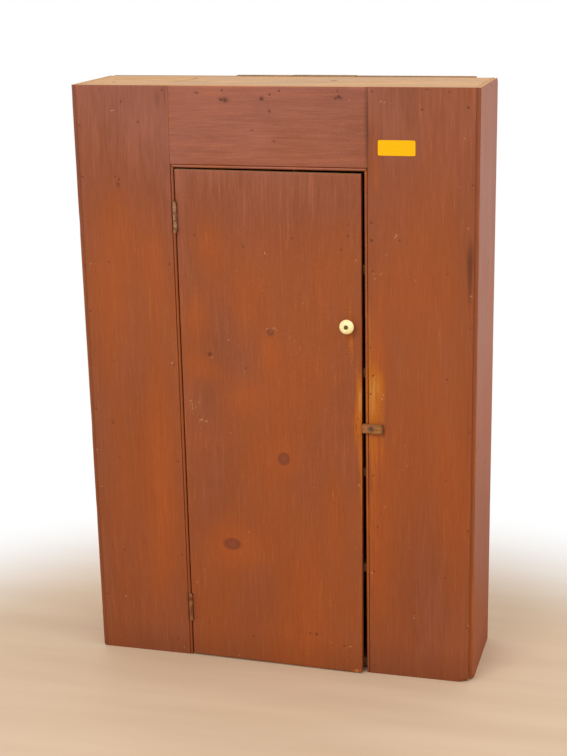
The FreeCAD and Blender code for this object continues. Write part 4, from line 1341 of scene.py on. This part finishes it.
def handled_wood():
    """Bare wood browned and polished by hands, painted darker at its ends and round the screw for dirt and
    shade.
    """
    material, add = new_material("handled_wood_whittled")
    figure = pine_figure(add)
    wood = pine_colour(add, figure, "#A06C34", "#74461E", "#8A5A28")
    place = add("TexCoord", out="Object")
    blotch = add("TexNoise", place, 1 / (8 * MM), 4.0)
    tinted = layered(add, wood, ("#A8643C", blotch, 0.45, 0.6, 0, 0.75))
    # Darker towards the ends and round the screw: dirt, and painted shade of the rounded ends and the seat.
    away = add("VectorMath", place, tuple(button_middle), operation="DISTANCE")
    ends = add("MapRange", away, *FROM_END, 0, 0.7)
    near = add("MapRange", away, *FROM_SEAT, 0.6, 0)
    grime_and_shade = add("Math", ends, near, operation="ADD")
    colour = add("Mix", grime_and_shade, tinted, "#4A2A12", data_type="RGBA")
    gloss = add("MapRange", figure.fibre, 0, 1, 0.4, 0.6)
    return finish(material, add, figure.fibre, 0.4, 0.3 * MM, Base_Color=colour, Roughness=gloss,
                  Specular_IOR_Level=0.3)


hand_over(button, "button", "turn_button", handled_wood())

# %% [markdown]
# The label is a stock self-adhesive one in amber paper, left blank. Its corners have begun to lift, which
# the eye reads from a thin shadow along its lower edge.

# %% Stick on the label
label_low, label_high = low_high("price_label")
label_middle = (label_low + label_high) / 2
LABEL_FAR = math.hypot(label_high[0] - label_middle[0], label_high[2] - label_middle[2])
LABEL_CORNER = 3 * MM
LABEL_LIFT = 0.5 * MM
PAPER_THICK = 0.15 * MM


def label_profile(angle):
    """A sheet that is flat in its middle and lifts towards its corners."""
    reach = block_reach(angle, label_low, label_high, label_middle, LABEL_CORNER)
    outs = [reach * share for share in (0.0, 0.2, 0.4, 0.6, 0.75, 0.88, 0.96, 1.0)]
    face = [(out, label_low[1] - LABEL_LIFT * max(0, out / LABEL_FAR - 0.8) ** 2 * 20) for out in outs]
    return face + [(out, y + PAPER_THICK) for out, y in reversed(face)]


def amber_paper():
    """Coloured label paper: matt, even, with a faint fibre cloud."""
    material, add = new_material("amber_paper_coated")
    place = add("TexCoord", out="Object")
    fibre = add("TexNoise", place, 1 / (1.5 * MM), 4.0)
    colour = layered(add, "#F8BE00", ("#F2B400", fibre, 0.3, 0.7))
    rough = add("MapRange", fibre, 0, 1, 0.5, 0.7)
    return finish(material, add, fibre, 0.2, 0.05 * MM, Base_Color=colour, Roughness=rough,
                  Specular_IOR_Level=0.15)


label = spin("price_label", label_middle, label_profile)
hand_over(label, "case", "price_label", amber_paper())

# %% [markdown]
# ## Iron
#
# The hinges, screws and nails keep their own shapes and only get a finish. Cast iron is dark, but these
# hinges were painted over and then worn, so their barrels show tan paint, rust and a little bare metal.
# Screws went dark brown, and nail heads keep some of the board's paint over their rust.

# %% Finish the iron


def old_iron(name, first, second, metal, patch, share, roughness):
    """Iron under the remains of paint or rust: two worn colours, and metal where the noise is highest."""
    material, add = new_material(name)
    place = add("TexCoord", out="Object")
    broad = add("TexNoise", place, 1 / patch, 5.0, 0.65)
    fine = add("TexNoise", place, 4 / patch, 3.0)
    coat = layered(add, first, (second, broad, 0.42, 0.58))
    bare = add("MapRange", fine, share, share + 0.1)
    colour = add("Mix", bare, coat, metal, data_type="RGBA")
    rough = add("MapRange", fine, 0, 1, roughness, 0.8)
    return finish(material, add, broad, 0.6, 0.3 * MM, Base_Color=colour, Metallic=bare, Roughness=rough,
                  Specular_IOR_Level=0.3)


# Each finish: two worn colours, the metal, a patch's size, how much stays covered, roughness, and its pieces.
IRON = {
    "cast_iron_paint_worn_off": ("#A67C5A", "#70492F", "#A08468", 7 * MM, 0.64, 0.5,
                                 ["upper_hinge_case_leaf", "upper_hinge_door_leaf", "upper_hinge_pin"]),
    "cast_iron_painted_over": ("#94623C", "#723C20", "#8A7058", 16 * MM, 0.74, 0.6,
                               ["lower_hinge_case_leaf", "lower_hinge_door_leaf", "lower_hinge_pin"]),
    "brass_screw_tarnished": ("#6E6040", "#54472E", "#8C7A50", 4 * MM, 0.62, 0.4, ["knob_screw"]),
    "steel_screw_darkened": ("#665442", "#4A3A2C", "#7A6C5C", 4 * MM, 0.62, 0.4,
                             ["case_hinge_screws", "door_hinge_screws", "button_screw"]),
    "cut_nail_painted_over": ("#86431F", "#6E3519", "#5C4A3C", 9 * MM, 0.74, 0.5,
                              ["face_nails", "side_nails", "batten_nails"]),
    "cut_nail_rusted": ("#5A3220", "#3B2116", "#5C4A3C", 5 * MM, 0.7, 0.6, ["back_nails"]),
}
for iron_name, (*look, names) in IRON.items():
    iron = old_iron(iron_name, *look)
    for name in names:
        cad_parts[name].material_slots[0].material = iron
print("iron finishes:", len(IRON))

# %% [markdown]
# ## Floor and light
#
# A pale floor carries the cupboard's shadow and turns white further out, but only for the eye and for
# reflections: what it throws back on the cupboard stays beige.

# %% Lay the floor
FLOOR_HALF = 14.0
FLOOR_DROP = 0.2 * MM
FADE_MIDDLE = (0.1, -0.8, 0)
FADE_FROM = 1.15
FADE_TO = 1.9
WHITE = "#FFFFFF"


def looked_at(add):
    """1 for what the camera sees, straight or by way of a reflection or glass, and 0 for all other light."""
    rays = add("LightPath").node.outputs
    seen = add("Math", rays["Is Camera Ray"], rays["Is Glossy Ray"], operation="MAXIMUM")
    return add("Math", seen, rays["Is Transmission Ray"], operation="MAXIMUM")


def pale_floor():
    """Pale matt boards near the cupboard, white further out to the eye."""
    material, add = new_material("floor_pale")
    place = add("TexCoord", out="Object")
    drawn = add("VectorMath", place, (0.12, 1, 1), operation="MULTIPLY")
    grain = add("TexNoise", drawn, 9.0, 5.0)
    colour = layered(add, "#D2B698", ("#DCC2A4", grain, 0.3, 0.7))
    boards = add("BsdfPrincipled", colour, Roughness=0.6, Specular_IOR_Level=0.2)
    far = add("VectorMath", place, FADE_MIDDLE, operation="DISTANCE")
    fade = add("MapRange", far, FADE_FROM, FADE_TO, interpolation_type="SMOOTHSTEP")
    share = add("Math", fade, looked_at(add), operation="MULTIPLY")
    white = add("Emission", WHITE, 1.0)
    add("OutputMaterial", add("MixShader", share, boards, white))
    return material


floor_mesh = bpy.data.meshes.new("floor")
floor_corners = [(x * FLOOR_HALF, y * FLOOR_HALF, 0) for x, y in ((-1, -1), (1, -1), (1, 1), (-1, 1))]
floor_mesh.from_pydata(floor_corners, [], [(0, 1, 2, 3)])
floor_mesh.materials.append(pale_floor())
floor = bpy.data.objects.new("floor", floor_mesh)
floor.location.z = -FLOOR_DROP
bpy.context.scene.collection.objects.link(floor)
floor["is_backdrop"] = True
print("floor:", 2 * FLOOR_HALF, "m square")

# %% [markdown]
# The light is a white sky all round, one large soft lamp from the front left and a smaller, weaker one
# from the right. They are at a level where a colour renders about as it is written. To the eye the sky is
# plain white.

# %% Light it
SKY_STRENGTH = 0.8
LAMP_AIM = Vector((0, 0, 0.75))
# Each lamp: its name, power in watts, place and width.
LAMPS = [("key", 62.0, Vector((-0.8, -3.3, 3.2)), 2.0), ("fill", 25.0, Vector((2.8, -0.3, 2.6)), 1.6)]

world = bpy.data.worlds.new("studio")
world.use_nodes = True
world.node_tree.nodes.clear()
add_sky = functools.partial(node, world.node_tree)
strength = add_sky("MapRange", looked_at(add_sky), 0, 1, SKY_STRENGTH, 1.0)
add_sky("OutputWorld", add_sky("Background", WHITE, strength))
bpy.context.scene.world = world

for lamp_name, watts, place, width in LAMPS:
    lamp_data = bpy.data.lights.new(lamp_name, "AREA")
    lamp_data.energy = watts
    lamp_data.size = width
    lamp = bpy.data.objects.new(lamp_name, lamp_data)
    lamp.location = place
    lamp.rotation_euler = (LAMP_AIM - place).to_track_quat("-Z", "Y").to_euler()
    bpy.context.scene.collection.objects.link(lamp)
bpy.context.scene.view_settings.view_transform = "Standard"
print("lamps:", len(LAMPS))

# %% [markdown]
# ## Size and finish
#
# The dressed cupboard has to fill the same box as its construction. Both boxes are kept side by side, and
# the last line prints how far apart they are.

# %% Measure the two boxes
visual_box = [list(point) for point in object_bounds()]
apart = [abs(a - b) for one, two in zip(cad_box, visual_box) for a, b in zip(one, two)]
print("largest difference:", max(apart))
